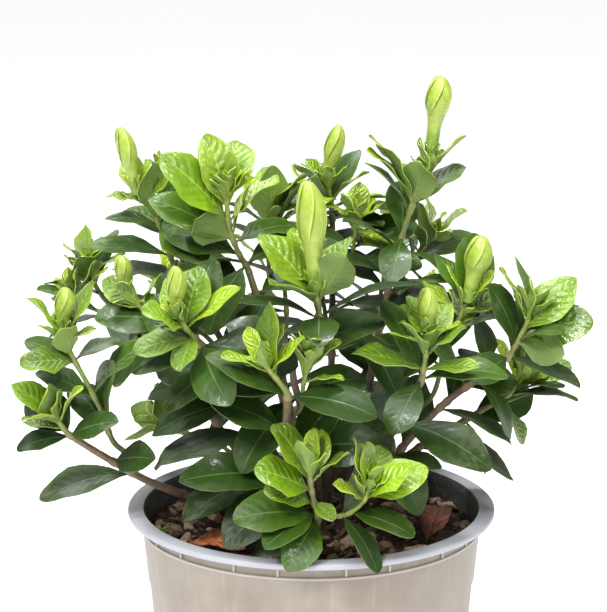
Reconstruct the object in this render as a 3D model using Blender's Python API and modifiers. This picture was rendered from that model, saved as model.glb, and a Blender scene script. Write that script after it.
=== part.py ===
"""Gardenia bush in bud, growing in a round plastic nursery pot filled with bark compost.

The pot stands on z = 0 with its axis on Z. The bush leans a little over every side of the rim.
Each woody stem, each leafy shoot and each flower bud is one closed body. A shoot is one growth:
a green stem with the leaves that sprang from it. Lists of places are in millimetres.
"""

import math

import bmesh
import bpy
from mathutils import Matrix, Vector, noise
from mathutils.bvhtree import BVHTree

MM = 0.001
GAP = 0.35 * MM  # room left between two neighbouring bodies
SIDE_GAP = 0.5 * MM  # room between a side shoot and the bark it springs from

# Pot: radius and height of each corner, inside floor first, then up the inside and down the outside
POT_PROFILE = (
    (0.0, 1.8),
    (71.6, 1.8),
    (73.2, 3.4),
    (82.5, 111.4),
    (83.3, 112.4),
    (86.1, 145.0),
    (86.9, 150.0),
    (94.3, 150.0),
    (95.0, 149.3),
    (95.0, 147.6),
    (94.3, 147.0),
    (88.1, 147.0),
    (87.6, 141.4),
    (88.3, 140.8),
    (88.3, 139.6),
    (87.5, 139.0),
    (85.0, 112.8),
    (84.2, 111.8),
    (75.0, 3.4),
    (73.4, 0.0),
    (0.0, 0.0),
)
# The pot's upper wall with 1.5 mm all round it, which leaves keep out of
POT_ROOM = (
    (85.4, 120.0),
    (85.4, 151.4),
    (96.6, 151.4),
    (96.6, 145.8),
    (89.2, 145.8),
    (87.0, 120.0),
)
POT_STEPS = 40
RIB_GROUPS = 10
RIB_HALF_TURN = 7.25  # degrees either side of the middle of a pair
RIB_WIDTH = 1.2
RIB_DEPTH = 1.5
RIB_RADIUS = 87.9
RIB_BOTTOM = 141.6
RIB_TOP = 146.0
DRAIN_HOLES = 6
DRAIN_RADIUS = 4.5
DRAIN_RING = 52.0
DRAIN_CUT = 8.0  # length of the drill that makes a hole
DRAIN_SIDES = 12

# Compost: it follows the inside of the pot and is level in the middle, where the stems stand
SOIL_TOP = 139.0
SOIL_LEVEL_RADIUS = 34.0
SOIL_BUMP = 2.2
SOIL_BUMP_LENGTH = 11.0
SOIL_FADE = 14.0  # width of the ring in which the bumps grow to their full height
SOIL_STEPS = 24
SOIL_SURFACE = 130.0  # everything in the profile above this is the top surface
SOIL_PROFILE = (
    (0.0, SOIL_TOP),
    (20.0, SOIL_TOP),
    (SOIL_LEVEL_RADIUS, SOIL_TOP),
    (46.0, 138.4),
    (58.0, 137.8),
    (70.0, 137.4),
    (79.0, 137.0),
    (84.6, 136.0),
    (82.8, 112.6),
    (82.1, 111.6),
    (72.9, 3.8),
    (71.4, 2.2),
    (0.0, 2.2),
)
STEM_FOOT = SOIL_TOP + 0.35  # stems start a gap above the compost

# Bark chips and fallen leaves on the compost: place, turn about Z, size
CHIPS = (
    ("bark_chip_front", (52.0, -46.0), 25.0, (17.0, 9.0, 5.0)),
    ("bark_chip_right", (46.0, -14.0), 70.0, (14.0, 8.0, 4.5)),
    ("bark_chip_left", (-44.0, -62.0), -35.0, (15.0, 8.0, 4.5)),
)
CHIP_CLEARANCE = 0.4
FALLEN_LEAVES = (
    ("fallen_leaf_orange", (-47.0, -37.0), -20.0, 32.0, 11.0),
    ("fallen_leaf_brown", (62.0, -15.0), 72.0, 30.0, 14.0),
)

# Leaf kinds: length, width, arch over its length, rise of each half, share of the length that is petiole
LEAF_KINDS = {
    "M": (42.0, 22.5, 38.0, 7.0, 0.12),
    "L": (42.0, 15.5, 40.0, 10.0, 0.12),
    "W": (33.0, 23.0, 26.0, 7.0, 0.10),
    "Y": (32.0, 18.5, 30.0, 9.0, 0.10),
    "N": (26.0, 10.8, 24.0, 14.0, 0.08),
    "T": (13.0, 5.4, 12.0, 14.0, 0.06),
}
BLADE_FILL = 1.1  # rows are this much wider than the blade, as straight sides between them cut its curve
LEAF_THICKNESS = 1.0
PETIOLE_HALF_WIDTH = 0.8
LEAF_ROOT_DEPTH = 0.8  # how far a leaf is rooted under the bark
PETIOLE_THICKNESS = 1.3
LARGE_LEAF = 46.0  # from this length up a leaf has three rows of corners along its blade
LARGE_ROWS = (0.24, 0.55, 0.83)
SMALL_ROWS = (0.36, 0.74)
CLEAR_SIDE = 0.7
CLEAR_FACE = 0.8

# How far a leaf may be turned or shortened to find room: dial, forward, size
LEAF_TRIES = (
    (0, 0, 1.0),
    (7, 0, 1.0),
    (-7, 0, 1.0),
    (0, 8, 1.0),
    (0, -8, 1.0),
    (13, 6, 0.97),
    (-13, -6, 0.97),
    (13, -6, 0.97),
    (-13, 6, 0.97),
    (0, 16, 0.94),
    (0, -16, 0.94),
    (21, 0, 0.94),
    (-21, 0, 0.94),
    (12, 14, 0.82),
    (-12, 14, 0.82),
    (12, -14, 0.82),
    (-12, -14, 0.82),
    (30, 0, 0.8),
    (-30, 0, 0.8),
    (0, 26, 0.75),
    (0, -26, 0.75),
    (18, 20, 0.62),
    (-18, -20, 0.62),
    (38, 8, 0.62),
    (-38, -8, 0.62),
)


def round_leaves(turn, elevations, kind_sizes):
    """Leaves set round an upright stem: pairs of (dial, forward) found from compass turns."""
    leaves = []
    for index, (at, elevation, kind, size) in enumerate(zip_rows(elevations, kind_sizes)):
        azimuth = math.radians(turn + index * 137.5)
        level = math.cos(math.radians(elevation))
        x = level * math.cos(azimuth)
        y = level * math.sin(azimuth)
        z = math.sin(math.radians(elevation))
        dial = math.degrees(math.atan2(z, x))
        forward = math.degrees(math.asin(-y))
        leaves.append((at, dial, forward, kind, size))
    return tuple(leaves)


def zip_rows(elevations, kind_sizes):
    return [(at, up, kind, size) for (at, up), (kind, size) in zip(elevations, kind_sizes)]


def stem_foliage(turn):
    """Older dark leaves left on a woody stem."""
    rows = ((0.42, 8), (0.55, 15), (0.67, 14), (0.78, 22), (0.90, 28))
    kinds = (("M", 0.88), ("M", 0.94), ("M", 0.88), ("M", 0.92), ("M", 0.8))
    return round_leaves(turn, rows, kinds)


def tuft(turn):
    """A full leafy shoot: dark leaves low down, a fresh bright tuft at its tip."""
    rows = (
        (0.32, 5),
        (0.42, 10),
        (0.52, 15),
        (0.62, 22),
        (0.72, 30),
        (0.80, 38),
        (0.86, 45),
        (0.91, 54),
        (0.95, 64),
    )
    kinds = (
        ("M", 0.9),
        ("M", 0.92),
        ("M", 0.88),
        ("M", 0.85),
        ("Y", 0.95),
        ("Y", 0.95),
        ("Y", 0.88),
        ("Y", 0.8),
        ("N", 0.8),
    )
    return round_leaves(turn, rows, kinds)


# Woody stems from the compost: name, foot, points passed through, radius at foot and tip, leaves.
# A leaf is: share of the stem's length, dial angle seen from the front (0 right, 90 up),
# lean towards the front, kind, size and, where given, roll of its upper side towards the front.
STEMS = (
    (
        "stem_left",
        (-22, -4),
        (
            (-44, -9, 149),
            (-67, -15, 160),
            (-84, -20.5, 169),
            (-96, -26, 178),
            (-107, -35, 188),
            (-118, -44, 198.5),
        ),
        (2.6, 1.8),
        ((0.66, 194, 10, "M", 1.15), (0.70, 50, -8, "L", 1.1), (0.76, 22, 40, "M", 0.75)),
    ),
    (
        "stem_left_back",
        (-15, 13),
        ((-38, 28, 168), (-66, 40, 203), (-90, 48, 230), (-107, 52, 244)),
        (2.2, 1.6),
        stem_foliage(100),
    ),
    (
        "stem_left_centre",
        (-14, -11),
        ((-20, -17, 170), (-32, -30, 205), (-44, -46, 232), (-52, -57, 247)),
        (2.6, 1.8),
        (
            (0.25, 197, 30, "M", 1.3),
            (0.48, 192, 22, "M", 1.25),
            (0.66, 200, 5, "M", 1.1),
            (0.42, -60, 30, "M", 1.0),
            (0.60, 20, 20, "M", 1.1),
            (0.80, 60, -20, "M", 1.0),
            (0.86, 215, 10, "M", 0.8),
            (0.30, 215, -20, "M", 1.0),
            (0.74, 165, -30, "M", 1.0),
        ),
    ),
    (
        "stem_back_left",
        (-6, 3),
        ((-22, 11, 180), (-40, 16, 220), (-56, 17, 250), (-69, 15, 271)),
        (2.4, 1.7),
        stem_foliage(60)
        + ((0.9, 215, 25, "M", 1.0), (0.95, 170, 0, "M", 0.9), (0.6, 20, 10, "M", 1.0)),
    ),
    (
        "stem_centre_left",
        (3, -5),
        ((-6, -7, 180), (-16, -10, 225), (-25, -13, 255), (-31, -15, 275)),
        (2.4, 1.8),
        stem_foliage(200)
        + ((0.9, 165, 25, "M", 1.0), (0.92, 10, 25, "M", 0.95))
        + ((0.74, 4, -10, "M", 1.15), (0.6, 175, 25, "M", 1.0)),
    ),
    (
        "stem_front_centre",
        (-5, -21),
        ((-8, -42, 165), (-11, -62, 195), (-12, -74, 214), (-11.5, -80.5, 228)),
        (2.6, 2.2),
        (
            (0.80, 155, 0, "M", 0.95),
            (0.60, 50, -10, "M", 1.0),
            (0.50, 178, 20, "M", 1.35),
            (0.66, 5, 5, "M", 1.1),
            (0.42, 215, 30, "M", 1.1),
        ),
    ),
    (
        "stem_centre",
        (5, -15),
        ((2, -25, 175), (-5, -42, 212), (-9, -53, 238), (-3, -58, 252), (2, -60, 261)),
        (2.5, 1.7),
        (
            (0.58, -8, 22, "M", 1.25),
            (0.65, -125, 28, "M", 1.15),
            (0.80, 160, 10, "M", 1.1),
            (0.85, 20, 0, "M", 1.1),
            (0.45, 30, -10, "M", 1.0),
            (0.72, 190, -15, "M", 1.1),
        ),
    ),
    (
        "stem_back_centre",
        (6, 9),
        ((9, 22, 180), (11, 30, 230), (11, 31, 270), (11, 30, 293)),
        (2.4, 1.6),
        stem_foliage(30)
        + ((0.95, 150, 10, "M", 0.9), (0.9, 20, 20, "M", 0.95))
        + ((0.62, 170, 30, "M", 1.15), (0.7, 8, 20, "M", 1.0)),
    ),
    (
        "stem_right_front",
        (13, -9),
        ((23, -19, 162), (34, -31, 186), (45, -48, 211), (52, -60, 229.5)),
        (2.5, 1.8),
        (
            (0.50, 97, 15, "M", 1.15),
            (0.74, -20, 25, "M", 1.25),
            (0.80, 120, -10, "L", 1.1),
            (0.55, -60, 20, "M", 0.9),
            (0.72, 170, 10, "M", 1.1),
            (0.40, 10, 20, "M", 0.9),
        ),
    ),
    (
        "stem_right",
        (18, 0),
        ((37, -8, 170), (55, -15, 195), (70, -21, 212), (85, -27, 225), (96, -31.5, 235)),
        (2.5, 1.6),
        (
            (0.52, -25, 10, "M", 1.3),
            (0.58, 100, -10, "M", 1.1),
            (0.80, 130, 10, "L", 1.0),
            (0.86, -60, 10, "M", 0.8),
            (0.80, 30, -30, "M", 0.9),
            (0.66, -10, 30, "M", 1.0),
            (0.70, 84, -20, "M", 1.0),
            (0.90, 112, -15, "M", 0.9),
            (0.42, 72, -12, "M", 1.0),
        ),
    ),
    (
        "stem_right_low",
        (16, 10),
        ((31, 8, 157), (52, 5, 176), (80, 1, 195), (94, -3, 205)),
        (2.2, 1.6),
        (
            (0.55, -15, -20, "M", 1.0),
            (0.60, 110, -20, "M", 0.9),
            (0.85, 30, -10, "M", 0.9),
            (0.82, -70, 10, "M", 0.7),
        ),
    ),
    (
        "stem_right_top",
        (21, 19),
        ((26, 15, 180), (32, 8, 225), (38, 2, 258), (42, 0, 276)),
        (2.3, 1.7),
        stem_foliage(-20)
        + ((0.9, 30, 25, "M", 0.9), (0.95, 160, 10, "M", 0.9))
        + ((0.7, 175, 25, "M", 1.0), (0.8, 5, 10, "M", 0.9)),
    ),
    (
        "stem_right_back",
        (8, 21),
        ((20, 33, 180), (34, 43, 225), (46, 49, 253), (50, 50, 264)),
        (2.3, 1.6),
        stem_foliage(80),
    ),
)

# Leafy shoots: name, carrier and share of its length (1 is its end), or None and a foot in the compost,
# then points passed through, radius at start and tip, leaves.
SHOOTS = (
    (
        "shoot_front_low",
        None,
        (1, -30),
        (
            (1, -48, 149),
            (2.5, -66, 160),
            (3, -79, 169),
            (1, -85, 178),
            (-0.5, -88.5, 188),
            (-1.4, -90, 199),
        ),
        (2.1, 1.2),
        (
            (0.90, 122, -5, "W", 1.0),
            (0.84, 152, 22, "W", 1.0, 20),
            (0.66, 178, 15, "M", 1.0),
            (0.67, 204, 35, "M", 0.8),
            (0.75, 155, 15, "Y", 0.85),
            (0.92, 118, 30, "N", 0.95),
            (0.92, 98, -12, "N", 0.95),
            (0.89, 42, 15, "Y", 0.8),
            (0.92, 62, 30, "N", 0.8),
            (0.76, -25, 50, "Y", 0.5),
            (0.95, 95, 20, "T", 1.3),
            (0.90, 80, -35, "Y", 0.85),
            (0.60, 228, 38, "M", 0.8),
            (0.45, 205, 10, "M", 0.8),
        ),
    ),
    (
        "shoot_front_low_side",
        "shoot_front_low",
        0.66,
        ((12, -80, 169.5), (19, -84, 173), (25, -87, 180), (27, -89, 188)),
        (1.5, 1.1),
        (
            (0.75, 113, 8, "Y", 1.05),
            (0.80, 90, -12, "Y", 0.95),
            (0.80, 36, 15, "Y", 0.9, 25),
            (0.78, 24, -5, "Y", 1.05, 25),
            (0.30, -62, 32, "M", 0.8),
            (0.45, -16, 22, "M", 0.8),
            (0.75, 138, 38, "N", 1.0),
            (0.30, 60, -25, "M", 0.75),
            (0.90, 75, 25, "T", 1.4),
            (0.85, 62, -25, "Y", 0.9),
        ),
    ),
    (
        "shoot_front_centre",
        "stem_front_centre",
        1.0,
        ((-16, -84.5, 238), (-23, -87, 247)),
        (1.9, 1.2),
        (
            (0.60, 95, -8, "W", 1.1),
            (0.05, -2, 15, "M", 1.05),
            (0.05, 150, 5, "M", 1.05),
            (0.80, 103, 35, "N", 0.85),
            (0.75, 156, 12, "N", 1.0),
            (0.75, 48, 15, "N", 0.95),
            (0.10, 175, -25, "M", 1.0),
            (0.80, 70, -25, "N", 0.9),
            (0.85, 120, -30, "N", 0.9),
            (0.90, 85, 10, "T", 1.2),
        ),
    ),
    (
        "shoot_front_centre_side",
        "stem_front_centre",
        0.9,
        ((-4, -79, 235), (-2, -78.5, 246), (-1, -78.5, 253)),
        (1.4, 1.1),
        (
            (0.60, 65, 15, "N", 0.85),
            (0.60, 102, 10, "N", 0.85),
            (0.70, 50, -15, "N", 0.9),
            (0.55, 8, 12, "N", 0.75),
            (0.80, 130, 20, "T", 1.4),
            (0.80, 80, 40, "T", 1.4),
            (0.35, 5, -35, "M", 0.9),
        ),
    ),
    (
        "shoot_centre_bud",
        "stem_centre",
        1.0,
        ((2.5, -61, 272), (1, -62.5, 288)),
        (1.7, 1.6),
        (
            (0.08, 14, 12, "M", 1.3),
            (0.35, 147, 42, "W", 1.05),
            (0.42, 58, 25, "W", 0.9, -60),
            (0.45, 138, 2, "Y", 1.3, 35),
            (0.08, 172, 15, "M", 0.95),
            (0.10, -80, 60, "M", 0.8),
            (0.50, 108, -25, "Y", 1.1),
            (0.55, 62, -20, "Y", 1.0),
            (0.70, 150, 15, "N", 0.7),
            (0.70, 30, 5, "N", 0.7),
            (0.30, 80, -40, "M", 0.9),
        ),
    ),
    (
        "shoot_front_left_bud",
        "stem_left_centre",
        1.0,
        ((-57, -64, 255), (-62, -68, 262), (-64.5, -70, 268.5)),
        (1.7, 1.2),
        (
            (0.60, 133, 25, "W", 0.9, 20),
            (0.65, 74, -10, "W", 0.9, 25),
            (0.10, -60, 50, "M", 0.98),
            (0.08, -10, 10, "M", 1.15),
            (0.40, -110, 55, "W", 0.7),
            (0.35, 190, 20, "Y", 0.95),
            (0.60, 46, 8, "N", 1.3),
            (0.20, 205, 5, "M", 0.85),
            (0.35, 78, -25, "M", 0.95),
            (0.75, 152, 40, "N", 0.65),
            (0.80, 92, 45, "N", 0.65),
            (0.75, 110, -40, "Y", 0.8),
            (0.10, 150, -30, "M", 0.9),
        ),
    ),
    (
        "shoot_right_front_bud",
        "stem_right_front",
        1.0,
        ((54, -64, 240), (55, -66, 250), (55, -66.5, 259)),
        (1.7, 1.2),
        (
            (0.30, 165, 15, "Y", 1.15),
            (0.55, 42, 22, "W", 0.8),
            (0.55, 122, 30, "Y", 0.85),
            (0.15, 120, -10, "L", 1.0),
            (0.12, 5, 5, "L", 1.0),
            (0.30, 8, 25, "N", 1.1),
            (0.60, 76, 35, "N", 0.7),
            (0.10, -120, 30, "M", 0.75),
            (0.75, 160, 15, "T", 1.5),
            (0.78, 20, 0, "T", 1.5),
            (0.75, 110, -25, "Y", 0.8),
            (0.70, 60, -25, "Y", 0.8),
            (0.80, 95, 30, "T", 1.2),
        ),
    ),
    (
        "shoot_right",
        "stem_right",
        1.0,
        ((102, -34, 245), (106.5, -35, 255), (108, -35, 262)),
        (1.6, 1.1),
        (
            (0.60, 46, 0, "Y", 1.15, 45),
            (0.50, 16, 5, "W", 1.1, 45),
            (0.55, 26, -14, "Y", 1.05),
            (0.35, 4, 42, "W", 0.85, -95),
            (0.30, 115, 10, "M", 0.85, 30),
            (0.05, -6, 22, "M", 0.95),
            (0.40, 26, 18, "M", 1.0, 30),
            (0.70, 88, 10, "N", 1.0),
            (0.75, 118, 0, "N", 1.2),
            (0.75, 102, -15, "L", 0.8),
            (0.85, 60, 25, "N", 0.8),
            (0.85, 75, -20, "N", 0.9),
            (0.05, -160, 15, "M", 0.9),
            (0.10, 60, -35, "M", 0.9),
            (0.90, 100, 15, "T", 1.5),
        ),
    ),
    (
        "shoot_left_bud",
        "stem_left",
        0.71,
        (
            (-99, -31, 192),
            (-105, -38, 212),
            (-112, -43, 229),
            (-117, -46, 240),
            (-120.5, -47.5, 249),
            (-121.5, -48, 256),
        ),
        (1.9, 1.2),
        (
            (0.77, 176, 25, "W", 0.85, 25),
            (0.87, 112, 5, "Y", 1.05),
            (0.88, 66, 0, "Y", 1.1),
            (0.82, 92, 45, "Y", 0.8),
            (0.27, 86, 15, "M", 1.0),
            (0.54, 42, 5, "L", 1.0),
            (0.27, 128, -15, "M", 0.75),
            (0.52, 160, -5, "M", 0.75),
            (0.75, 160, -15, "M", 0.7),
            (0.78, 20, -20, "M", 0.6),
            (0.90, 140, 25, "N", 0.7),
            (0.90, 40, 20, "N", 0.7),
            (0.85, 100, -35, "Y", 0.8),
        ),
    ),
    (
        "shoot_left_low",
        "stem_left",
        1.0,
        ((-122, -48, 204), (-126, -50, 211)),
        (1.6, 1.1),
        (
            (0.62, 136, 8, "Y", 1.02),
            (0.65, 108, 30, "Y", 0.85),
            (0.10, 190, 20, "M", 0.65),
            (0.10, 22, 15, "M", 0.7),
            (0.20, 68, -20, "M", 0.8),
            (0.75, 84, 0, "Y", 0.9),
            (0.75, 58, 20, "N", 1.0),
            (0.85, 160, 40, "N", 0.8),
            (0.90, 100, -25, "Y", 0.8),
            (0.50, 175, -10, "N", 0.8),
            (0.20, 150, -30, "M", 0.7),
            (0.90, 95, 15, "T", 1.3),
        ),
    ),
    (
        "shoot_top_right_bud",
        "stem_right_top",
        1.0,
        ((46, 0, 292), (50, 0, 305), (54, 0, 315), (59, 0, 330), (61, 0, 345)),
        (1.7, 1.5),
        (
            (0.44, 80, 30, "W", 0.85),
            (0.40, 132, 2, "L", 0.8),
            (0.44, 38, 10, "M", 0.8, 20),
            (0.46, 96, 10, "Y", 1.1),
            (0.46, 109, 8, "Y", 1.4),
            (0.60, 50, 5, "N", 1.3),
            (0.48, 124, 12, "N", 1.45),
            (0.62, 80, 18, "N", 0.75),
            (0.65, 100, 35, "N", 0.6),
            (0.60, 150, -30, "Y", 0.7),
            (0.12, 150, 20, "M", 0.85),
            (0.12, -30, 10, "M", 0.85),
            (0.20, 90, -40, "M", 0.8),
            (0.20, -110, 45, "M", 0.7),
        ),
    ),
    (
        "shoot_top_centre_left",
        "stem_centre_left",
        1.0,
        ((-36, -20, 286), (-40, -25, 299), (-41.5, -27.5, 312), (-41.5, -28, 321)),
        (1.7, 1.2),
        (
            (0.66, 135, 12, "W", 1.45, 30),
            (0.42, 150, 6, "L", 1.15, 25),
            (0.45, 143, 38, "W", 0.85, -80),
            (0.65, 42, 10, "Y", 1.05),
            (0.75, 104, -12, "Y", 1.25),
            (0.85, 84, -20, "W", 1.1),
            (0.60, 168, -15, "Y", 0.75),
            (0.50, 70, 18, "N", 1.3),
            (0.10, -120, 40, "M", 1.05),
            (0.10, 20, -20, "M", 1.0),
            (0.40, 0, -30, "M", 0.9),
            (0.85, 120, 15, "N", 0.7),
            (0.90, 75, 10, "N", 0.65),
            (0.90, 100, 25, "T", 1.3),
            (0.90, 60, -10, "T", 1.3),
            (0.92, 95, -25, "T", 1.4),
            (0.25, 165, -15, "M", 0.95),
        ),
    ),
    (
        "shoot_top_left_bud",
        "stem_back_left",
        1.0,
        ((-74, 11, 285), (-79, 6, 300), (-85, 2.5, 311), (-89, 0, 319)),
        (1.6, 1.2),
        (
            (0.55, 100, 25, "Y", 1.15),
            (0.50, -28, 45, "M", 1.0),
            (0.50, 172, 8, "L", 0.65),
            (0.15, 172, 10, "L", 1.0),
            (0.55, 55, -10, "M", 0.8),
            (0.78, 172, 10, "Y", 0.6),
            (0.75, 60, 15, "Y", 0.7),
            (0.15, -20, 10, "M", 0.9),
            (0.25, 60, -30, "M", 0.9),
            (0.50, 30, -35, "M", 0.8),
            (0.80, 110, -20, "Y", 0.8),
            (0.85, 50, -10, "N", 0.7),
        ),
    ),
    (
        "shoot_top_left_side",
        "stem_back_left",
        0.9,
        ((-63, 22, 272), (-69, 21, 290), (-75, 18, 306), (-78, 17, 320)),
        (1.4, 1.0),
        (
            (0.75, 50, 25, "Y", 0.75),
            (0.78, 110, 10, "N", 0.8),
            (0.85, 80, 0, "N", 0.7),
            (0.90, 60, -15, "N", 0.7),
            (0.92, 100, 10, "T", 1.3),
            (0.92, 75, 15, "T", 1.3),
            (0.92, 90, -25, "T", 1.4),
            (0.65, 15, 0, "M", 0.8),
            (0.65, 60, -30, "M", 0.85),
            (0.45, 20, -20, "M", 0.9),
            (0.45, 160, -30, "M", 0.9),
        ),
    ),
    (
        "shoot_left_mid_bud",
        "stem_back_left",
        0.68,
        ((-56, 3, 240), (-76, -9, 250), (-88, -11, 259), (-93, -11, 267.5)),
        (1.6, 1.1),
        (
            (0.55, 172, 12, "M", 0.95),
            (0.50, 78, 5, "W", 1.0),
            (0.50, 225, 5, "L", 1.1),
            (0.60, -50, 25, "M", 0.9),
            (0.65, 60, -30, "M", 0.8),
            (0.80, 60, 20, "Y", 0.7),
            (0.80, 150, -15, "Y", 0.8),
            (0.82, 165, 25, "N", 0.6),
            (0.85, 20, 15, "N", 0.6),
            (0.90, 120, 40, "T", 1.2),
        ),
    ),
    (
        "shoot_left_back",
        "stem_left_back",
        1.0,
        ((-114, 52, 253), (-119, 51, 264)),
        (1.5, 1.0),
        (
            (0.50, 112, 35, "Y", 0.8),
            (0.30, 165, 15, "M", 0.75),
            (0.30, 20, -15, "M", 0.9),
            (0.20, -20, 20, "M", 0.8),
            (0.55, 70, -30, "M", 0.8),
            (0.70, 125, 10, "Y", 0.8),
            (0.75, 98, -10, "Y", 0.9),
            (0.80, 62, 10, "N", 0.8),
            (0.90, 80, 20, "N", 0.6),
            (0.90, 110, 25, "T", 1.3),
            (0.80, 40, 0, "Y", 0.7),
            (0.90, 85, -25, "T", 1.4),
        ),
    ),
    (
        "shoot_left_back_side",
        "stem_left_back",
        0.86,
        ((-106, 42, 240), (-120, 40, 247), (-128, 40, 256)),
        (1.4, 1.0),
        (
            (0.55, 158, 10, "M", 0.85),
            (0.70, 112, 35, "Y", 0.85),
            (0.75, 78, 10, "Y", 0.8),
            (0.45, 200, 10, "M", 0.8),
            (0.80, 140, -15, "Y", 0.8),
            (0.80, 50, -10, "N", 0.9),
            (0.90, 100, 0, "N", 0.7),
            (0.50, -40, 10, "M", 0.8),
        ),
    ),
    (
        "shoot_top_centre",
        "stem_centre_left",
        0.68,
        ((-13, 0, 241), (-14, 12, 264), (-19, 15, 290), (-22, 15, 306)),
        (1.6, 1.1),
        (
            (0.78, 92, 15, "Y", 1.25),
            (0.80, 62, 5, "M", 0.95),
            (0.80, 118, 5, "M", 0.95),
            (0.85, 86, -22, "W", 1.0),
            (0.88, 130, -12, "Y", 0.9),
            (0.88, 50, -20, "Y", 0.9),
            (0.50, 160, 15, "M", 0.9),
            (0.50, -10, -10, "M", 0.95),
            (0.70, 150, 25, "M", 0.8),
            (0.70, 30, -20, "M", 0.9),
            (0.95, 80, 10, "N", 0.7),
            (0.95, 105, -10, "N", 0.7),
            (0.90, 66, 8, "Y", 1.25),
            (0.84, 33, 12, "Y", 1.15),
            (0.30, 192, 5, "M", 1.0),
        ),
    ),
    (
        "shoot_top_centre_bud",
        "stem_back_centre",
        1.0,
        ((10, 30, 304), (8, 30, 318)),
        (1.6, 1.2),
        (
            (0.35, 130, 10, "W", 0.9),
            (0.45, 106, -12, "Y", 0.8),
            (0.30, 158, 22, "N", 1.25),
            (0.45, 38, 10, "Y", 0.8),
            (0.30, 14, 22, "N", 1.2),
            (0.15, -20, 45, "M", 0.9),
            (0.35, 62, -25, "M", 0.8),
            (0.10, 180, -10, "M", 0.9),
            (0.10, 0, 10, "M", 0.9),
            (0.70, 95, 35, "N", 0.6),
            (0.70, 140, -20, "T", 1.5),
            (0.70, 60, 20, "N", 0.6),
            (0.30, 90, -45, "M", 0.8),
        ),
    ),
    (
        "shoot_top_centre_side",
        "stem_back_centre",
        0.78,
        ((19, 22, 268), (22, 13, 286), (23, 10, 302)),
        (1.4, 1.0),
        (
            (0.75, 60, 5, "Y", 0.8),
            (0.75, 105, 15, "Y", 0.8),
            (0.40, 0, 20, "M", 0.9),
            (0.45, 180, 20, "M", 0.8),
            (0.60, 145, 0, "M", 0.8),
            (0.60, 30, -10, "M", 0.9),
            (0.85, 85, -15, "Y", 0.7),
            (0.90, 50, 0, "N", 0.8),
            (0.90, 130, 10, "N", 0.8),
            (0.80, -20, 35, "Y", 0.8),
        ),
    ),
    (
        "shoot_right_bud",
        "stem_right",
        0.52,
        ((62, -14, 213), (67, -19, 238), (74, -25, 256), (78, -27.5, 266), (79, -28, 272)),
        (1.7, 1.2),
        (
            (0.80, 140, 15, "Y", 0.85),
            (0.85, 40, 22, "Y", 0.75),
            (0.85, 112, 12, "N", 1.0),
            (0.70, 22, 25, "M", 0.85),
            (0.70, 165, 20, "M", 0.85),
            (0.85, 76, -28, "M", 0.95),
            (0.85, 120, -35, "L", 0.8),
            (0.90, 60, -10, "N", 0.8),
            (0.80, 15, -15, "Y", 0.8),
            (0.45, -15, 10, "M", 0.95),
            (0.45, 165, -10, "M", 0.95),
            (0.50, 80, -35, "M", 0.9),
            (0.60, -150, 20, "M", 0.8),
        ),
    ),
    (
        "shoot_right_low",
        "stem_right_low",
        1.0,
        ((102, -6, 211), (108, -8, 220)),
        (1.5, 1.0),
        (
            (0.50, 15, 28, "M", 0.7),
            (0.35, 2, 20, "L", 0.9),
            (0.10, -60, 20, "Y", 0.8),
            (0.12, 165, -35, "M", 0.9),
            (0.15, 130, -10, "M", 0.8),
            (0.40, 60, -30, "M", 0.9),
            (0.60, 60, 5, "Y", 1.0),
            (0.70, 95, 10, "Y", 0.9),
            (0.75, 28, -15, "Y", 1.0),
            (0.80, 120, -20, "N", 1.0),
            (0.85, 75, 20, "N", 0.8),
        ),
    ),
    (
        "shoot_back_right",
        "stem_right_back",
        1.0,
        ((57, 51, 272), (64, 50, 281)),
        (1.5, 1.0),
        (
            (0.60, 95, 30, "W", 1.0),
            (0.60, 112, 42, "Y", 0.9),
            (0.50, 130, 12, "Y", 1.05),
            (0.60, 42, 0, "Y", 1.0),
            (0.10, 155, 20, "M", 1.1),
            (0.15, 20, -15, "M", 0.95),
            (0.10, -60, 20, "M", 0.85),
            (0.30, 110, -40, "M", 0.9),
            (0.70, 75, -15, "Y", 0.9),
            (0.80, 60, 20, "N", 0.8),
            (0.85, 100, 0, "N", 0.8),
            (0.80, 150, -20, "N", 0.9),
        ),
    ),
    (
        "shoot_low_left_back",
        "stem_left_back",
        0.3,
        ((-52, 42, 172), (-72, 50, 174), (-85, 54, 181)),
        (1.5, 1.0),
        (
            (0.75, 150, 0, "Y", 0.85),
            (0.80, 105, 10, "Y", 0.85),
            (0.40, 230, -10, "M", 0.9),
            (0.40, 40, -20, "M", 0.9),
            (0.85, 30, 10, "N", 1.0),
            (0.85, 70, -20, "Y", 0.8),
            (0.75, -30, 10, "Y", 0.8),
            (0.80, 190, 20, "N", 1.0),
        ),
    ),
    (
        "shoot_back_left",
        "stem_left_back",
        0.55,
        ((-66, 54, 207), (-72, 70, 224), (-76, 79, 240), (-77, 83, 252)),
        (1.6, 1.1),
        tuft(95),
    ),
    (
        "shoot_back_centre",
        None,
        (-8, 25),
        ((-12, 44, 170), (-18, 64, 205), (-22, 77, 238), (-23, 83, 262), (-23, 85, 276)),
        (2.3, 1.1),
        tuft(60),
    ),
    (
        "shoot_back_right_low",
        None,
        (18, 31),
        ((28, 48, 166), (44, 66, 200), (56, 78, 224), (63, 84, 243)),
        (2.3, 1.1),
        tuft(20),
    ),
    (
        "shoot_back_top",
        "stem_back_centre",
        0.6,
        ((7, 45, 244), (2, 57, 268), (-2, 62, 290), (-3, 64, 302)),
        (1.6, 1.1),
        tuft(130),
    ),
    (
        "shoot_back_right_side",
        "stem_right_back",
        0.58,
        ((36, 60, 240), (40, 72, 258), (43, 77, 275)),
        (1.5, 1.1),
        tuft(75),
    ),
)

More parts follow.
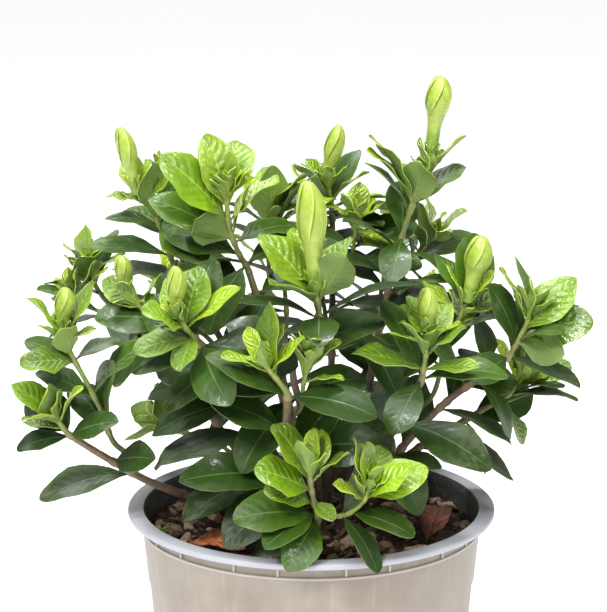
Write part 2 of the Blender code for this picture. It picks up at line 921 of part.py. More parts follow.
# Flower buds: name, shoot that bears it, dial angle, lean towards the front, length, largest radius
BUDS = (
    ("bud_top_left", "shoot_top_left_bud", 104, 0, 28.0, 5.0),
    ("bud_top_centre", "shoot_top_centre_bud", 76, 0, 26.0, 5.2),
    ("bud_top_right", "shoot_top_right_bud", 84, 0, 27.0, 6.6),
    ("bud_centre", "shoot_centre_bud", 95, 2, 42.0, 7.4),
    ("bud_left_mid", "shoot_left_mid_bud", 100, 0, 16.0, 4.6),
    ("bud_front_left", "shoot_front_left_bud", 90, 5, 22.0, 4.8),
    ("bud_left", "shoot_left_bud", 83, 0, 19.0, 5.0),
    ("bud_right", "shoot_right_bud", 80, 0, 25.0, 6.8),
    ("bud_right_front", "shoot_right_front_bud", 92, 3, 20.0, 5.2),
    ("bud_back", "shoot_back_centre", 96, -8, 24.0, 5.4),
)
BUD_PROFILE = (
    (1.00, 0.0),
    (0.975, 0.30),
    (0.90, 0.62),
    (0.76, 0.92),
    (0.58, 1.00),
    (0.42, 0.80),
    (0.24, 0.52),
    (0.06, 0.36),
    (0.0, 0.20),
)
BUD_STEPS = 8

STEM_BEVEL_RESOLUTION = 1
STEM_STEP = 12.0  # length of stem between two rings
SHARP_ANGLE = 50.0  # degrees between two faces from which their edge is sharp
WELD = 0.005  # corners nearer than this are one


def reset_scene():
    for item in list(bpy.data.objects):
        bpy.data.objects.remove(item, do_unlink=True)


def make_collection(name):
    collection = bpy.data.collections.new(name)
    bpy.context.scene.collection.children.link(collection)
    return collection


def material(name, color, roughness):
    made = bpy.data.materials.get(name)
    if made is None:
        made = bpy.data.materials.new(name)
        made.use_nodes = True
        shader = made.node_tree.nodes["Principled BSDF"]
        shader.inputs["Base Color"].default_value = (*color, 1.0)
        shader.inputs["Roughness"].default_value = roughness
        shader.inputs["Metallic"].default_value = 0.0
        made.diffuse_color = (*color, 1.0)
    return made


def pot_plastic():
    return material("pot_plastic", (0.60, 0.56, 0.51), 0.5)


def compost():
    return material("compost", (0.06, 0.035, 0.022), 0.95)


def bark():
    return material("bark", (0.22, 0.13, 0.075), 0.9)


def woody_stem():
    return material("woody_stem", (0.085, 0.12, 0.045), 0.6)


def shoot_green():
    return material("shoot_green", (0.11, 0.26, 0.04), 0.35)


def bud_green():
    return material("bud_green", (0.42, 0.58, 0.08), 0.4)


def dry_orange():
    return material("dry_orange", (0.50, 0.17, 0.05), 0.7)


def dry_brown():
    return material("dry_brown", (0.20, 0.06, 0.04), 0.7)


def evaluated_mesh(item):
    graph = bpy.context.evaluated_depsgraph_get()
    graph.update()
    mesh = bpy.data.meshes.new_from_object(item.evaluated_get(graph))
    return mesh


def drop(item):
    bpy.data.objects.remove(item, do_unlink=True)


def place(name, mesh, finish, collection):
    """Adds a finished mesh as one named object of the plant, shaded smooth up to its sharp edges."""
    mesh.name = name
    mesh.materials.clear()
    mesh.materials.append(finish)
    for face in mesh.polygons:
        face.use_smooth = True
    mesh.set_sharp_from_angle(angle=math.radians(SHARP_ANGLE))
    item = bpy.data.objects.new(name, mesh)
    collection.objects.link(item)
    return item


def new_helper(name, mesh, helpers):
    item = bpy.data.objects.new(name, mesh)
    helpers.objects.link(item)
    item.display_type = "WIRE"
    item.hide_render = True
    return item


def mesh_of(name, points, faces):
    mesh = bpy.data.meshes.new(name)
    mesh.from_pydata([tuple(point) for point in points], [], faces)
    mesh.update()
    return mesh


def turned_mesh(name, profile, steps, helpers):
    """Turns a profile of (radius, height) corners in millimetres about Z."""
    points = [(radius * MM, 0.0, height * MM) for radius, height in profile]
    mesh = bpy.data.meshes.new(name)
    mesh.from_pydata(points, [(i, i + 1) for i in range(len(points) - 1)], [])
    item = new_helper(name, mesh, helpers)
    screw = item.modifiers.new("turn", "SCREW")
    screw.steps = steps
    screw.render_steps = steps
    screw.use_merge_vertices = True
    screw.merge_threshold = 0.00001
    screw.use_smooth_shade = True
    made = evaluated_mesh(item)
    drop(item)
    tidy(made)
    return made


def tidy(mesh):
    """Merges doubled corners and turns the faces outwards."""
    work = bmesh.new()
    work.from_mesh(mesh)
    bmesh.ops.remove_doubles(work, verts=work.verts, dist=WELD * MM)
    bmesh.ops.recalc_face_normals(work, faces=work.faces)
    if work.calc_volume(signed=True) < 0:
        bmesh.ops.reverse_faces(work, faces=work.faces)
    work.to_mesh(mesh)
    work.free()
    mesh.update()


def islands(work):
    """The corners of each connected shell of a mesh."""
    left = set(work.verts)
    found = []
    while left:
        shell = {left.pop()}
        edge = set(shell)
        while edge:
            near = {link.other_vert(corner) for corner in edge for link in corner.link_edges}
            edge = near - shell
            shell |= edge
        left -= shell
        found.append(shell)
    return found


def keep_largest(mesh):
    """Drops the crumbs that a union leaves where two leaves meet inside a stem."""
    work = bmesh.new()
    work.from_mesh(mesh)
    shells = sorted(islands(work), key=len)
    for shell in shells[:-1]:
        bmesh.ops.delete(work, geom=list(shell), context="VERTS")
    work.to_mesh(mesh)
    work.free()
    mesh.update()


def combined(mesh, others, operation, helpers):
    """Boolean of a mesh with several others, joined into one operand."""
    base = new_helper("base", mesh, helpers)
    joined = bmesh.new()
    for other in others:
        joined.from_mesh(other)
    operand_mesh = bpy.data.meshes.new("operand")
    joined.to_mesh(operand_mesh)
    joined.free()
    operand = new_helper("operand", operand_mesh, helpers)
    boolean = base.modifiers.new("combine", "BOOLEAN")
    boolean.operation = operation
    boolean.solver = "EXACT"
    boolean.use_self = True
    boolean.object = operand
    made = evaluated_mesh(base)
    drop(base)
    drop(operand)
    return made


def build_pot(collection, helpers):
    mesh = turned_mesh("pot", POT_PROFILE, POT_STEPS, helpers)
    holes = []
    for index in range(DRAIN_HOLES):
        turn = math.radians(360.0 / DRAIN_HOLES * (index + 0.5))
        centre = Vector((math.cos(turn), math.sin(turn), 0.0)) * DRAIN_RING * MM
        work = bmesh.new()
        bmesh.ops.create_cone(
            work,
            cap_ends=True,
            segments=DRAIN_SIDES,
            radius1=DRAIN_RADIUS * MM,
            radius2=DRAIN_RADIUS * MM,
            depth=DRAIN_CUT * MM,
            matrix=Matrix.Translation(centre),
        )
        hole = bpy.data.meshes.new("hole")
        work.to_mesh(hole)
        work.free()
        holes.append(hole)
    mesh = combined(mesh, holes, "DIFFERENCE", helpers)
    ribs = []
    for index in range(RIB_GROUPS):
        middle = 360.0 / RIB_GROUPS * (index + 0.5) - 90.0
        for side in (-1, 1):
            ribs.append(rib_mesh(math.radians(middle + side * RIB_HALF_TURN)))
    mesh = combined(mesh, ribs, "UNION", helpers)
    tidy(mesh)
    place("pot", mesh, pot_plastic(), collection)


def rib_mesh(turn):
    """One upright rib on the set-back band under the rim."""
    height = (RIB_TOP - RIB_BOTTOM) * MM
    middle = (RIB_TOP + RIB_BOTTOM) / 2 * MM
    work = bmesh.new()
    bmesh.ops.create_cube(work, size=1.0)
    bmesh.ops.scale(work, verts=work.verts, vec=(RIB_DEPTH * MM, RIB_WIDTH * MM, height))
    bmesh.ops.translate(work, verts=work.verts, vec=(RIB_RADIUS * MM, 0.0, middle))
    bmesh.ops.rotate(work, verts=work.verts, cent=(0, 0, 0), matrix=Matrix.Rotation(turn, 3, "Z"))
    mesh = bpy.data.meshes.new("rib")
    work.to_mesh(mesh)
    work.free()
    return mesh


def soil_bump(x, y):
    """Height added to the compost at a place outside its level middle, in metres."""
    away = math.hypot(x, y) / MM
    fade = min(1.0, max(0.0, (away - SOIL_LEVEL_RADIUS) / SOIL_FADE))
    wave = noise.noise(Vector((x, y, 0.0)) / (SOIL_BUMP_LENGTH * MM) + Vector((0.0, 0.0, 3.7)))
    return SOIL_BUMP * MM * fade * wave


def build_soil(collection, helpers):
    mesh = turned_mesh("soil", SOIL_PROFILE, SOIL_STEPS, helpers)
    for corner in mesh.vertices:
        if corner.co.z > SOIL_SURFACE * MM:
            corner.co.z += soil_bump(corner.co.x, corner.co.y)
    place("soil", mesh, compost(), collection)
    return BVHTree.FromPolygons(
        [corner.co.copy() for corner in mesh.vertices],
        [tuple(face.vertices) for face in mesh.polygons],
    )


def build_chips(ground, collection):
    made = []
    for name, (x, y), turn, (length, width, height) in CHIPS:
        work = bmesh.new()
        bmesh.ops.create_icosphere(work, subdivisions=1, radius=0.5)
        for corner in work.verts:
            push = 1.0 + 0.35 * noise.noise(corner.co * 3.0 + Vector((x, y, 0.0)))
            corner.co *= push
        bmesh.ops.scale(work, verts=work.verts, vec=(length * MM, width * MM, height * MM))
        bmesh.ops.rotate(
            work, verts=work.verts, cent=(0, 0, 0), matrix=Matrix.Rotation(math.radians(turn), 3, "Z")
        )
        bmesh.ops.translate(work, verts=work.verts, vec=(x * MM, y * MM, 0.0))
        seat(work, ground)
        mesh = bpy.data.meshes.new(name)
        work.to_mesh(mesh)
        work.free()
        tidy(mesh)
        place(name, mesh, bark(), collection)
        made.append(mesh)
    return made


def seat(work, ground):
    """Lowers loose litter until its lowest place is just above the compost."""
    spots = [face.calc_center_median() for face in work.faces]
    spots += [corner.co.copy() for corner in work.verts]
    spots += [(edge.verts[0].co + edge.verts[1].co) / 2 for edge in work.edges]
    drops = []
    for spot in spots:
        under = ground.ray_cast(Vector((spot.x, spot.y, 1.0)), Vector((0.0, 0.0, -1.0)))[0]
        drops.append(spot.z - under.z)
    lift = CHIP_CLEARANCE * MM - min(drops)
    bmesh.ops.translate(work, verts=work.verts, vec=(0.0, 0.0, lift))


def build_fallen_leaves(ground, collection):
    made = []
    finishes = (dry_orange(), dry_brown())
    for (name, (x, y), turn, length, width), finish in zip(FALLEN_LEAVES, finishes):
        heading = Vector((math.cos(math.radians(turn)), math.sin(math.radians(turn)), 0.0))
        leaf = {
            "base": Vector((x * MM, y * MM, 0.0)) - heading * length * MM / 2,
            "along": heading,
            "up": Vector((0.0, 0.0, 1.0)),
            "length": length * MM,
            "width": width * MM,
            "arch": math.radians(20),
            "fold": math.radians(14),
            "petiole": 0.05,
        }
        points, faces = leaf_solid(leaf)
        work = bmesh.new()
        mesh = mesh_of(name, points, faces)
        work.from_mesh(mesh)
        seat(work, ground)
        work.to_mesh(mesh)
        work.free()
        tidy(mesh)
        place(name, mesh, finish, collection)
        made.append(mesh)
    return made


def dial_direction(dial, forward):
    """Unit vector for a dial angle seen from the front and a lean towards the front."""
    turn = math.radians(dial)
    lean = math.radians(forward)
    return Vector((math.cos(turn) * math.cos(lean), -math.sin(lean), math.sin(turn) * math.cos(lean)))


def smooth_path(points, step):
    """Rounds a line of points without overshoot and returns places about one step apart."""
    heads = []
    for index, point in enumerate(points):
        head = Vector()
        if index > 0:
            head += (point - points[index - 1]).normalized()
        if index < len(points) - 1:
            head += (points[index + 1] - point).normalized()
        heads.append(head.normalized())
    path = [points[0].copy()]
    for index in range(len(points) - 1):
        start, end = points[index], points[index + 1]
        span = (end - start).length
        count = max(1, round(span / step))
        for part in range(1, count + 1):
            t = part / count
            a = 2 * t**3 - 3 * t**2 + 1
            b = t**3 - 2 * t**2 + t
            c = -2 * t**3 + 3 * t**2
            d = t**3 - t**2
            path.append(start * a + heads[index] * span * b + end * c + heads[index + 1] * span * d)
    return path


def along(path, share):
    """Point and unit tangent at a share of a path's length."""
    spans = [(b - a).length for a, b in zip(path, path[1:])]
    left = sum(spans) * share
    for index, span in enumerate(spans):
        if left <= span or index == len(spans) - 1:
            here = path[index].lerp(path[index + 1], min(1.0, left / span))
            return here, (path[index + 1] - path[index]).normalized()
        left -= span
    return path[-1], (path[-1] - path[-2]).normalized()


def tube(path, radii, sides, extra):
    """Closed tube of a tapered path, used to find room for leaves."""
    points = []
    faces = []
    count = len(path)
    for index, here in enumerate(path):
        head = (path[min(index + 1, count - 1)] - path[max(index - 1, 0)]).normalized()
        across = head.orthogonal().normalized()
        other = head.cross(across)
        share = index / (count - 1)
        radius = (radii[0] + (radii[1] - radii[0]) * share) * MM + extra
        for side in range(sides):
            turn = 2 * math.pi * side / sides
            points.append(here + across * radius * math.cos(turn) + other * radius * math.sin(turn))
    for index in range(count - 1):
        for side in range(sides):
            a = index * sides + side
            b = index * sides + (side + 1) % sides
            faces.append((a, b, b + sides, a + sides))
    faces.append(tuple(range(sides)))
    faces.append(tuple(range((count - 1) * sides, count * sides)))
    return points, faces


def stem_mesh(path, radii, helpers):
    """The stem itself: a bevelled curve with filled ends, made into a mesh."""
    curve = bpy.data.curves.new("stem", "CURVE")
    curve.dimensions = "3D"
    curve.bevel_depth = MM
    curve.bevel_resolution = STEM_BEVEL_RESOLUTION
    curve.use_fill_caps = True
    spline = curve.splines.new("POLY")
    spline.points.add(len(path) - 1)
    for index, here in enumerate(path):
        spline.points[index].co = (*here, 1.0)
        spline.points[index].radius = radii[0] + (radii[1] - radii[0]) * index / (len(path) - 1)
    item = new_helper("stem_curve", curve, helpers)
    mesh = evaluated_mesh(item)
    drop(item)
    tidy(mesh)
    return mesh


def blade_share(share):
    """Half width of a leaf blade at a share of its length, against its largest half width."""
    return math.sin(math.pi * share**1.22) ** 0.9


def rolled(up, direction, roll):
    """The leaf's upper side turned about its length, towards the front, or away if negative."""
    if roll == 0:
        return up
    sides = [Matrix.Rotation(math.radians(sign * roll), 3, direction) @ up for sign in (-1, 1)]
    sides.sort(key=lambda side: side.y)
    return sides[0] if roll > 0 else sides[1]


def grown_leaf(axis, at, dial, forward, kind, size, roll=0):
    """The frame and sizes of one leaf: where it starts, how it points and which way is up."""
    path, radii = axis
    centre, head = along(path, at)
    length, width, arch, fold, petiole = LEAF_KINDS[kind]
    direction = dial_direction(dial, forward)
    out = direction - head * direction.dot(head)
    radius = radii[0] + (radii[1] - radii[0]) * at
    base = centre + out.normalized() * max(0.0, radius - LEAF_ROOT_DEPTH) * MM
    up = head - direction * head.dot(direction)
    if up.length < 0.2:
        up = Vector((0.0, 0.0, 1.0)) - direction * direction.z
    return {
        "base": base,
        "along": direction,
        "up": rolled(up.normalized(), direction, roll),
        "length": length * size * MM,
        "width": width * size * MM,
        "arch": math.radians(arch),
        "fold": math.radians(fold),
        "petiole": petiole,
    }


def leaf_place(leaf, share):
    """Point and local up on the midrib at a share of the leaf's length."""
    arch = leaf["arch"]
    start = arch / 2
    bend = start - arch * share
    reach = (math.sin(start) - math.sin(bend)) / arch
    rise = (math.cos(bend) - math.cos(start)) / arch
    here = leaf["base"] + (leaf["along"] * reach + leaf["up"] * rise) * leaf["length"]
    return here, leaf["up"] * math.cos(bend) - leaf["along"] * math.sin(bend)


def leaf_solid(leaf, side_room=0.0, face_room=0.0):
    """Closed leaf: both edges and a keel in each row, a slim root and one point at the tip."""
    rows = LARGE_ROWS if leaf["length"] > LARGE_LEAF * MM else SMALL_ROWS
    petiole = leaf["petiole"]
    half = leaf["width"] / 2
    thin = min(1.0, leaf["width"] / (9 * MM))
    sections = [(0.0, PETIOLE_HALF_WIDTH * MM * thin, PETIOLE_THICKNESS * MM * thin / 2)]
    for row in rows:
        wide = half * blade_share(row) * BLADE_FILL
        sections.append((petiole + (1 - petiole) * row, wide, LEAF_THICKNESS * MM / 2))
    across = leaf["along"].cross(leaf["up"])
    points = []
    for index, (share, wide, deep) in enumerate(sections):
        here, up = leaf_place(leaf, share)
        rise = wide * math.tan(leaf["fold"]) if index else 0.0
        wide += side_room
        deep += face_room
        points.append(here - across * wide + up * (rise + deep - LEAF_THICKNESS * MM / 2))
        points.append(here + across * wide + up * (rise + deep - LEAF_THICKNESS * MM / 2))
        points.append(here - up * deep)
    tip, up = leaf_place(leaf, 1.0)
    points.append(tip + (leaf["along"] - up * math.sin(leaf["arch"] / 2)) * side_room)
    faces = [(0, 1, 2)]
    count = len(sections)
    for row in range(count - 1):
        for side in range(3):
            a = row * 3 + side
            b = row * 3 + (side + 1) % 3
            faces.append((a, a + 3, b + 3, b))
    last = (count - 1) * 3
    for side in range(3):
        faces.append((last + side, last + 3, last + (side + 1) % 3))
    return points, faces


def blade_solid(leaf):
    """The outer part of a leaf, to tell whether two leaves of one shoot cross."""
    points, faces = leaf_solid(leaf)
    return points, faces[4:]


def tree_of(shape):
    return BVHTree.FromPolygons([tuple(point) for point in shape[0]], shape[1])


def box_of(points):
    low = [min(point[axis] for point in points) for axis in range(3)]
    high = [max(point[axis] for point in points) for axis in range(3)]
    return low, high


def apart(first, second):
    return any(first[0][axis] > second[1][axis] or second[0][axis] > first[1][axis] for axis in range(3))


class Room:
    """Everything that leaves have to keep clear of, by the body it belongs to."""

    def __init__(self):
        self.solids = []

    def add(self, owner, shape):
        self.solids.append((owner, box_of(shape[0]), tree_of(shape)))

    def crossed(self, owner, shape):
        box = box_of(shape[0])
        tree = None
        for other, other_box, other_tree in self.solids:
            if other == owner or apart(box, other_box):
                continue
            tree = tree or tree_of(shape)
            if tree.overlap(other_tree):
                return True
        return False


def pick_leaf(room, owner, own, axis, spec):
    """The first turn or size of a leaf that touches no other body, and if possible no leaf beside it."""
    at, dial, forward, kind, size, *roll = spec
    second = None
    for turn, lean, scale in LEAF_TRIES:
        leaf = grown_leaf(axis, at, dial + turn, forward + lean, kind, size * scale, *roll)
        if room.crossed(owner, leaf_solid(leaf, CLEAR_SIDE * MM, CLEAR_FACE * MM)):
            continue
        if room.crossed(owner, leaf_solid(leaf)):
            continue
        if own.crossed("", blade_solid(leaf)):
            second = second or leaf
            continue
        return leaf
    return second


def side_start(carrier, share, towards, radius_at):
    """Where a side shoot leaves its carrier, square to it and just clear of its bark."""
    here, head = along(carrier, share)
    out = towards - here
    out = (out - head * out.dot(head)).normalized()
    first = here + out * (radius_at * MM + SIDE_GAP)
    return [first, first + out * 3 * MM]


def end_start(carrier):
    here, head = along(carrier, 1.0)
    first = here + head * GAP
    return [first, first + head * 2 * MM]


def foot_start(x, y):
    first = Vector((x * MM, y * MM, STEM_FOOT * MM))
    return [first, first + Vector((0.0, 0.0, 2 * MM))]


def grow_paths():
    """The path and radii of every stem and shoot, by name."""
    paths = {}
    for name, (x, y), points, radii, _ in STEMS:
        line = foot_start(x, y) + [Vector(point) * MM for point in points]
        paths[name] = (smooth_path(line, STEM_STEP * MM), radii)
    for name, carrier, start, points, radii, _ in SHOOTS:
        rest = [Vector(point) * MM for point in points]
        if carrier is None:
            line = foot_start(*start) + rest
        elif start == 1.0:
            line = end_start(paths[carrier][0]) + rest
        else:
            path, thick = paths[carrier]
            radius = thick[0] + (thick[1] - thick[0]) * start
            line = side_start(path, start, rest[0], radius) + rest
        paths[name] = (smooth_path(line, STEM_STEP * MM), radii)
    return paths


def bud_axis(paths, carrier, dial, forward):
    tip, head = along(paths[carrier][0], 1.0)
    return tip + head * GAP * 1.6, dial_direction(dial, forward)


def bud_path(base, direction, length, radius):
    """Rings of a bud for finding room round it: places and radii from base to tip."""
    rows = [(share, wide * radius) for share, wide in reversed(BUD_PROFILE)]
    return [(base + direction * length * MM * share, wide * MM) for share, wide in rows]


def ringed(rings, head, sides, extra):
    """Faces turned about a straight axis, used to find room for leaves."""
    points = []
    faces = []
    across = head.orthogonal().normalized()
    other = head.cross(across)
    for here, radius in rings:
        for side in range(sides):
            turn = 2 * math.pi * side / sides
            offset = across * math.cos(turn) + other * math.sin(turn)
            points.append(here + offset * (radius + extra))
    for index in range(len(rings) - 1):
        for side in range(sides):
            a = index * sides + side
            b = index * sides + (side + 1) % sides
            faces.append((a, b, b + sides, a + sides))
    return points, faces


def pot_room():
    """The inside and outside of the pot's upper wall, a little enlarged."""
    rings = [(Vector((0, 0, height * MM)), radius * MM) for radius, height in POT_ROOM]
    return ringed(rings, Vector((0, 0, 1)), 24, 0.0)


def soil_room():
    high = (SOIL_TOP + SOIL_BUMP + 0.4) * MM
    rings = [(Vector((0, 0, high)), 30 * MM), (Vector((0, 0, high)), 86 * MM)]
    return ringed(rings, Vector((0, 0, 1)), 24, 0.0)


def build_buds(paths, room, collection, helpers):
    for name, carrier, dial, forward, length, radius in BUDS:
        base, direction = bud_axis(paths, carrier, dial, forward)
        profile = [(wide * radius, share * length) for share, wide in BUD_PROFILE]
        profile.append((0.0, 0.0))
        mesh = turned_mesh(name, profile, BUD_STEPS, helpers)
        item = place(name, mesh, bud_green(), collection)
        item.rotation_mode = "QUATERNION"
        item.rotation_quaternion = Vector((0, 0, 1)).rotation_difference(direction)
        item.location = base
        room.add(name, ringed(bud_path(base, direction, length, radius), direction, 8, 0.5 * MM))


def build_axis(name, paths, leaves, room, finish, collection, helpers):
    """One stem or shoot with its leaves, fused into one body."""
    path, radii = paths[name]
    own = Room()
    solids = []
    for spec in leaves:
        leaf = pick_leaf(room, name, own, paths[name], spec)
        if leaf is None:
            continue
        own.add("leaf", blade_solid(leaf))
        room.add(name, leaf_solid(leaf))
        solid = mesh_of("leaf", *leaf_solid(leaf))
        tidy(solid)
        solids.append(solid)
    mesh = stem_mesh(path, radii, helpers)
    if solids:
        mesh = combined(mesh, solids, "UNION", helpers)
    tidy(mesh)
    keep_largest(mesh)
    place(name, mesh, finish, collection)
    return len(solids)


def main():
    reset_scene()
    plant = make_collection("potted_gardenia")
    helpers = make_collection("helpers")
    helpers.hide_render = True
    build_pot(plant, helpers)
    ground = build_soil(plant, helpers)
    litter = build_chips(ground, plant) + build_fallen_leaves(ground, plant)
    paths = grow_paths()
    room = Room()
    room.add("pot", pot_room())
    room.add("soil", soil_room())
    for mesh in litter:
        corners = [corner.co for corner in mesh.vertices]
        room.add("litter", (corners, [tuple(face.vertices) for face in mesh.polygons]))
    for name, (path, radii) in paths.items():
        room.add(name, tube(path, radii, 8, GAP))
    build_buds(paths, room, plant, helpers)
    grown = 0
    for name, _, _, _, _, leaves in SHOOTS:
        grown += build_axis(name, paths, leaves, room, shoot_green(), plant, helpers)
    for name, _, _, _, leaves in STEMS:
        grown += build_axis(name, paths, leaves, room, woody_stem(), plant, helpers)
    print("leaves grown:", grown)


main()
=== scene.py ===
"""Potted gardenia in bud: what is seen of it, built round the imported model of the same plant.

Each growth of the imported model, a woody stem or a leafy shoot, is drawn again as two pieces that stand
for it: its stalk, and all its leaves. A leaf is modelled once, flat, and every leaf of the plant is a
copy of it that is scaled, folded, arched and waved. Buds, pot, compost and litter each have a class.
Lists of places are in millimetres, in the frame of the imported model: +Z up, -Y towards the front.
"""

import logging
import math
import random
from collections.abc import Callable, Sequence
from dataclasses import dataclass
from enum import Enum
from itertools import accumulate

import bpy
import numpy as np
from mathutils import Matrix, Vector, kdtree, noise


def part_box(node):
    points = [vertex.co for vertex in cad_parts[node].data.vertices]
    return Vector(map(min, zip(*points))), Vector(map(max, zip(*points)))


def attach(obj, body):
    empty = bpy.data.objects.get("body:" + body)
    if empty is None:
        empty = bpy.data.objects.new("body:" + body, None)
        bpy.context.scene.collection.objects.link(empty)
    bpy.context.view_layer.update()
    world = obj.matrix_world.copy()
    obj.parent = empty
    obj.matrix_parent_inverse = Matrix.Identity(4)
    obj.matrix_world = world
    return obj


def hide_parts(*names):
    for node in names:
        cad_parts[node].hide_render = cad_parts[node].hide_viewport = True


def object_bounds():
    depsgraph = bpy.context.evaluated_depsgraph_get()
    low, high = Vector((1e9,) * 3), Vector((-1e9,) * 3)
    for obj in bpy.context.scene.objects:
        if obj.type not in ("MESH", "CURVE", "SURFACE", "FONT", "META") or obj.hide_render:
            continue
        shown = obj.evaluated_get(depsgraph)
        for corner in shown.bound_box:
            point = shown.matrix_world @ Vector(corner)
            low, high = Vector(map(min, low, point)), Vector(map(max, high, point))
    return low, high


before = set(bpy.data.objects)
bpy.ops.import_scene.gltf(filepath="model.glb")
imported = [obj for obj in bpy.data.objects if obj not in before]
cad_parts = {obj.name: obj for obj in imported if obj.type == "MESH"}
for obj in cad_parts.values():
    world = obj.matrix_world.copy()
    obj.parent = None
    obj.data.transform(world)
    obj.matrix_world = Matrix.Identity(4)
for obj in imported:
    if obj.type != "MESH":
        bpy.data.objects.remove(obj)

log = logging.getLogger("gardenia")

MM = 0.001
GOLDEN_TURN = 137.5
CAD_BOX = [list(map(float, corner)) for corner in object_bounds()]
BODY = "root"
UP = Vector((0.0, 0.0, 1.0))
FRONT = Vector((0.0, -1.0, 0.0))

Colour = tuple[float, float, float]
LeafSpec = tuple
Socket = bpy.types.NodeSocket
Feed = Socket | float | tuple[float, ...]


class Slot(Enum):
    """Material slots, by name."""

    POT = "pot_plastic"
    COMPOST = "compost"
    BARK = "bark"
    WOOD = "woody_stem"
    SHOOT = "shoot_green"
    BUD = "bud_green"
    ORANGE = "dry_orange"
    BROWN = "dry_brown"


@dataclass(frozen=True)
class LeafCut:
    """How one kind of leaf grows.

    Sizes are in millimetres and degrees, and age runs from 0 for an old dark leaf to 1 for one that has
    just opened.
    """

    length: float
    width: float
    arch: float
    fold: float
    age: float


class LeafKind(Enum):
    """The kinds of leaf, by the letter that the lists of growths use."""

    M = LeafCut(42.0, 24.5, 38.0, 7.0, 0.16)
    L = LeafCut(42.0, 17.5, 40.0, 10.0, 0.26)
    W = LeafCut(33.0, 23.0, 26.0, 7.0, 0.60)
    Y = LeafCut(32.0, 18.5, 30.0, 9.0, 0.74)
    N = LeafCut(26.0, 10.8, 24.0, 14.0, 0.90)
    T = LeafCut(13.0, 5.4, 12.0, 14.0, 1.00)


@dataclass(frozen=True)
class Growth:
    """One stem or shoot.

    carrier is the growth it springs from, or None for the compost, and start is the share of the
    carrier's length, or the foot in the compost. radii are at its start and tip. A leaf is: share of
    the length, dial angle seen from the front (0 right, 90 up), lean towards the front, kind, size and,
    where given, roll of its upper side towards the front.
    """

    name: str
    carrier: str | None
    start: float | tuple[float, float]
    radii: tuple[float, float]
    points: tuple
    leaves: tuple[LeafSpec, ...]


def round_leaves(turn: float, elevations: tuple, kind_sizes: tuple) -> tuple[LeafSpec, ...]:
    """Leaves set round an upright stem.

    Args:
        turn: compass turn of the first leaf, in degrees.
        elevations: pairs of share of the length and rise above the level.
        kind_sizes: pairs of kind and size.

    Returns:
        The leaves, with their dial angle and lean found from compass turns.
    """
    leaves = []
    for index, ((at, elevation), (kind, size)) in enumerate(zip(elevations, kind_sizes)):
        azimuth = math.radians(turn + index * GOLDEN_TURN)
        level = math.cos(math.radians(elevation))
        x = level * math.cos(azimuth)
        y = level * math.sin(azimuth)
        z = math.sin(math.radians(elevation))
        dial = math.degrees(math.atan2(z, x))
        forward = math.degrees(math.asin(-y))
        leaves.append((at, dial, forward, kind, size))
    return tuple(leaves)


def stem_foliage(turn: float) -> tuple[LeafSpec, ...]:
    """Older dark leaves left on a woody stem, from a compass turn.

    Args:
        turn: compass turn of the first leaf, in degrees.

    Returns:
        The leaves.
    """
    rows = ((0.42, 8), (0.55, 15), (0.67, 14), (0.78, 22), (0.90, 28))
    kinds = (("M", 0.88), ("M", 0.94), ("M", 0.88), ("M", 0.92), ("M", 0.8))
    return round_leaves(turn, rows, kinds)


def tuft(turn: float) -> tuple[LeafSpec, ...]:
    """A full leafy shoot: dark leaves low down, a fresh bright tuft at its tip.

    Args:
        turn: compass turn of the first leaf, in degrees.

    Returns:
        The leaves.
    """
    rows = (
        (0.32, 5), (0.42, 10), (0.52, 15), (0.62, 22), (0.72, 30),
        (0.80, 38), (0.86, 45), (0.91, 54), (0.95, 64),
    )
    kinds = (
        ("M", 0.9), ("M", 0.92), ("M", 0.88), ("M", 0.85), ("Y", 0.95),
        ("Y", 0.95), ("Y", 0.88), ("Y", 0.8), ("N", 0.8),
    )
    return round_leaves(turn, rows, kinds)


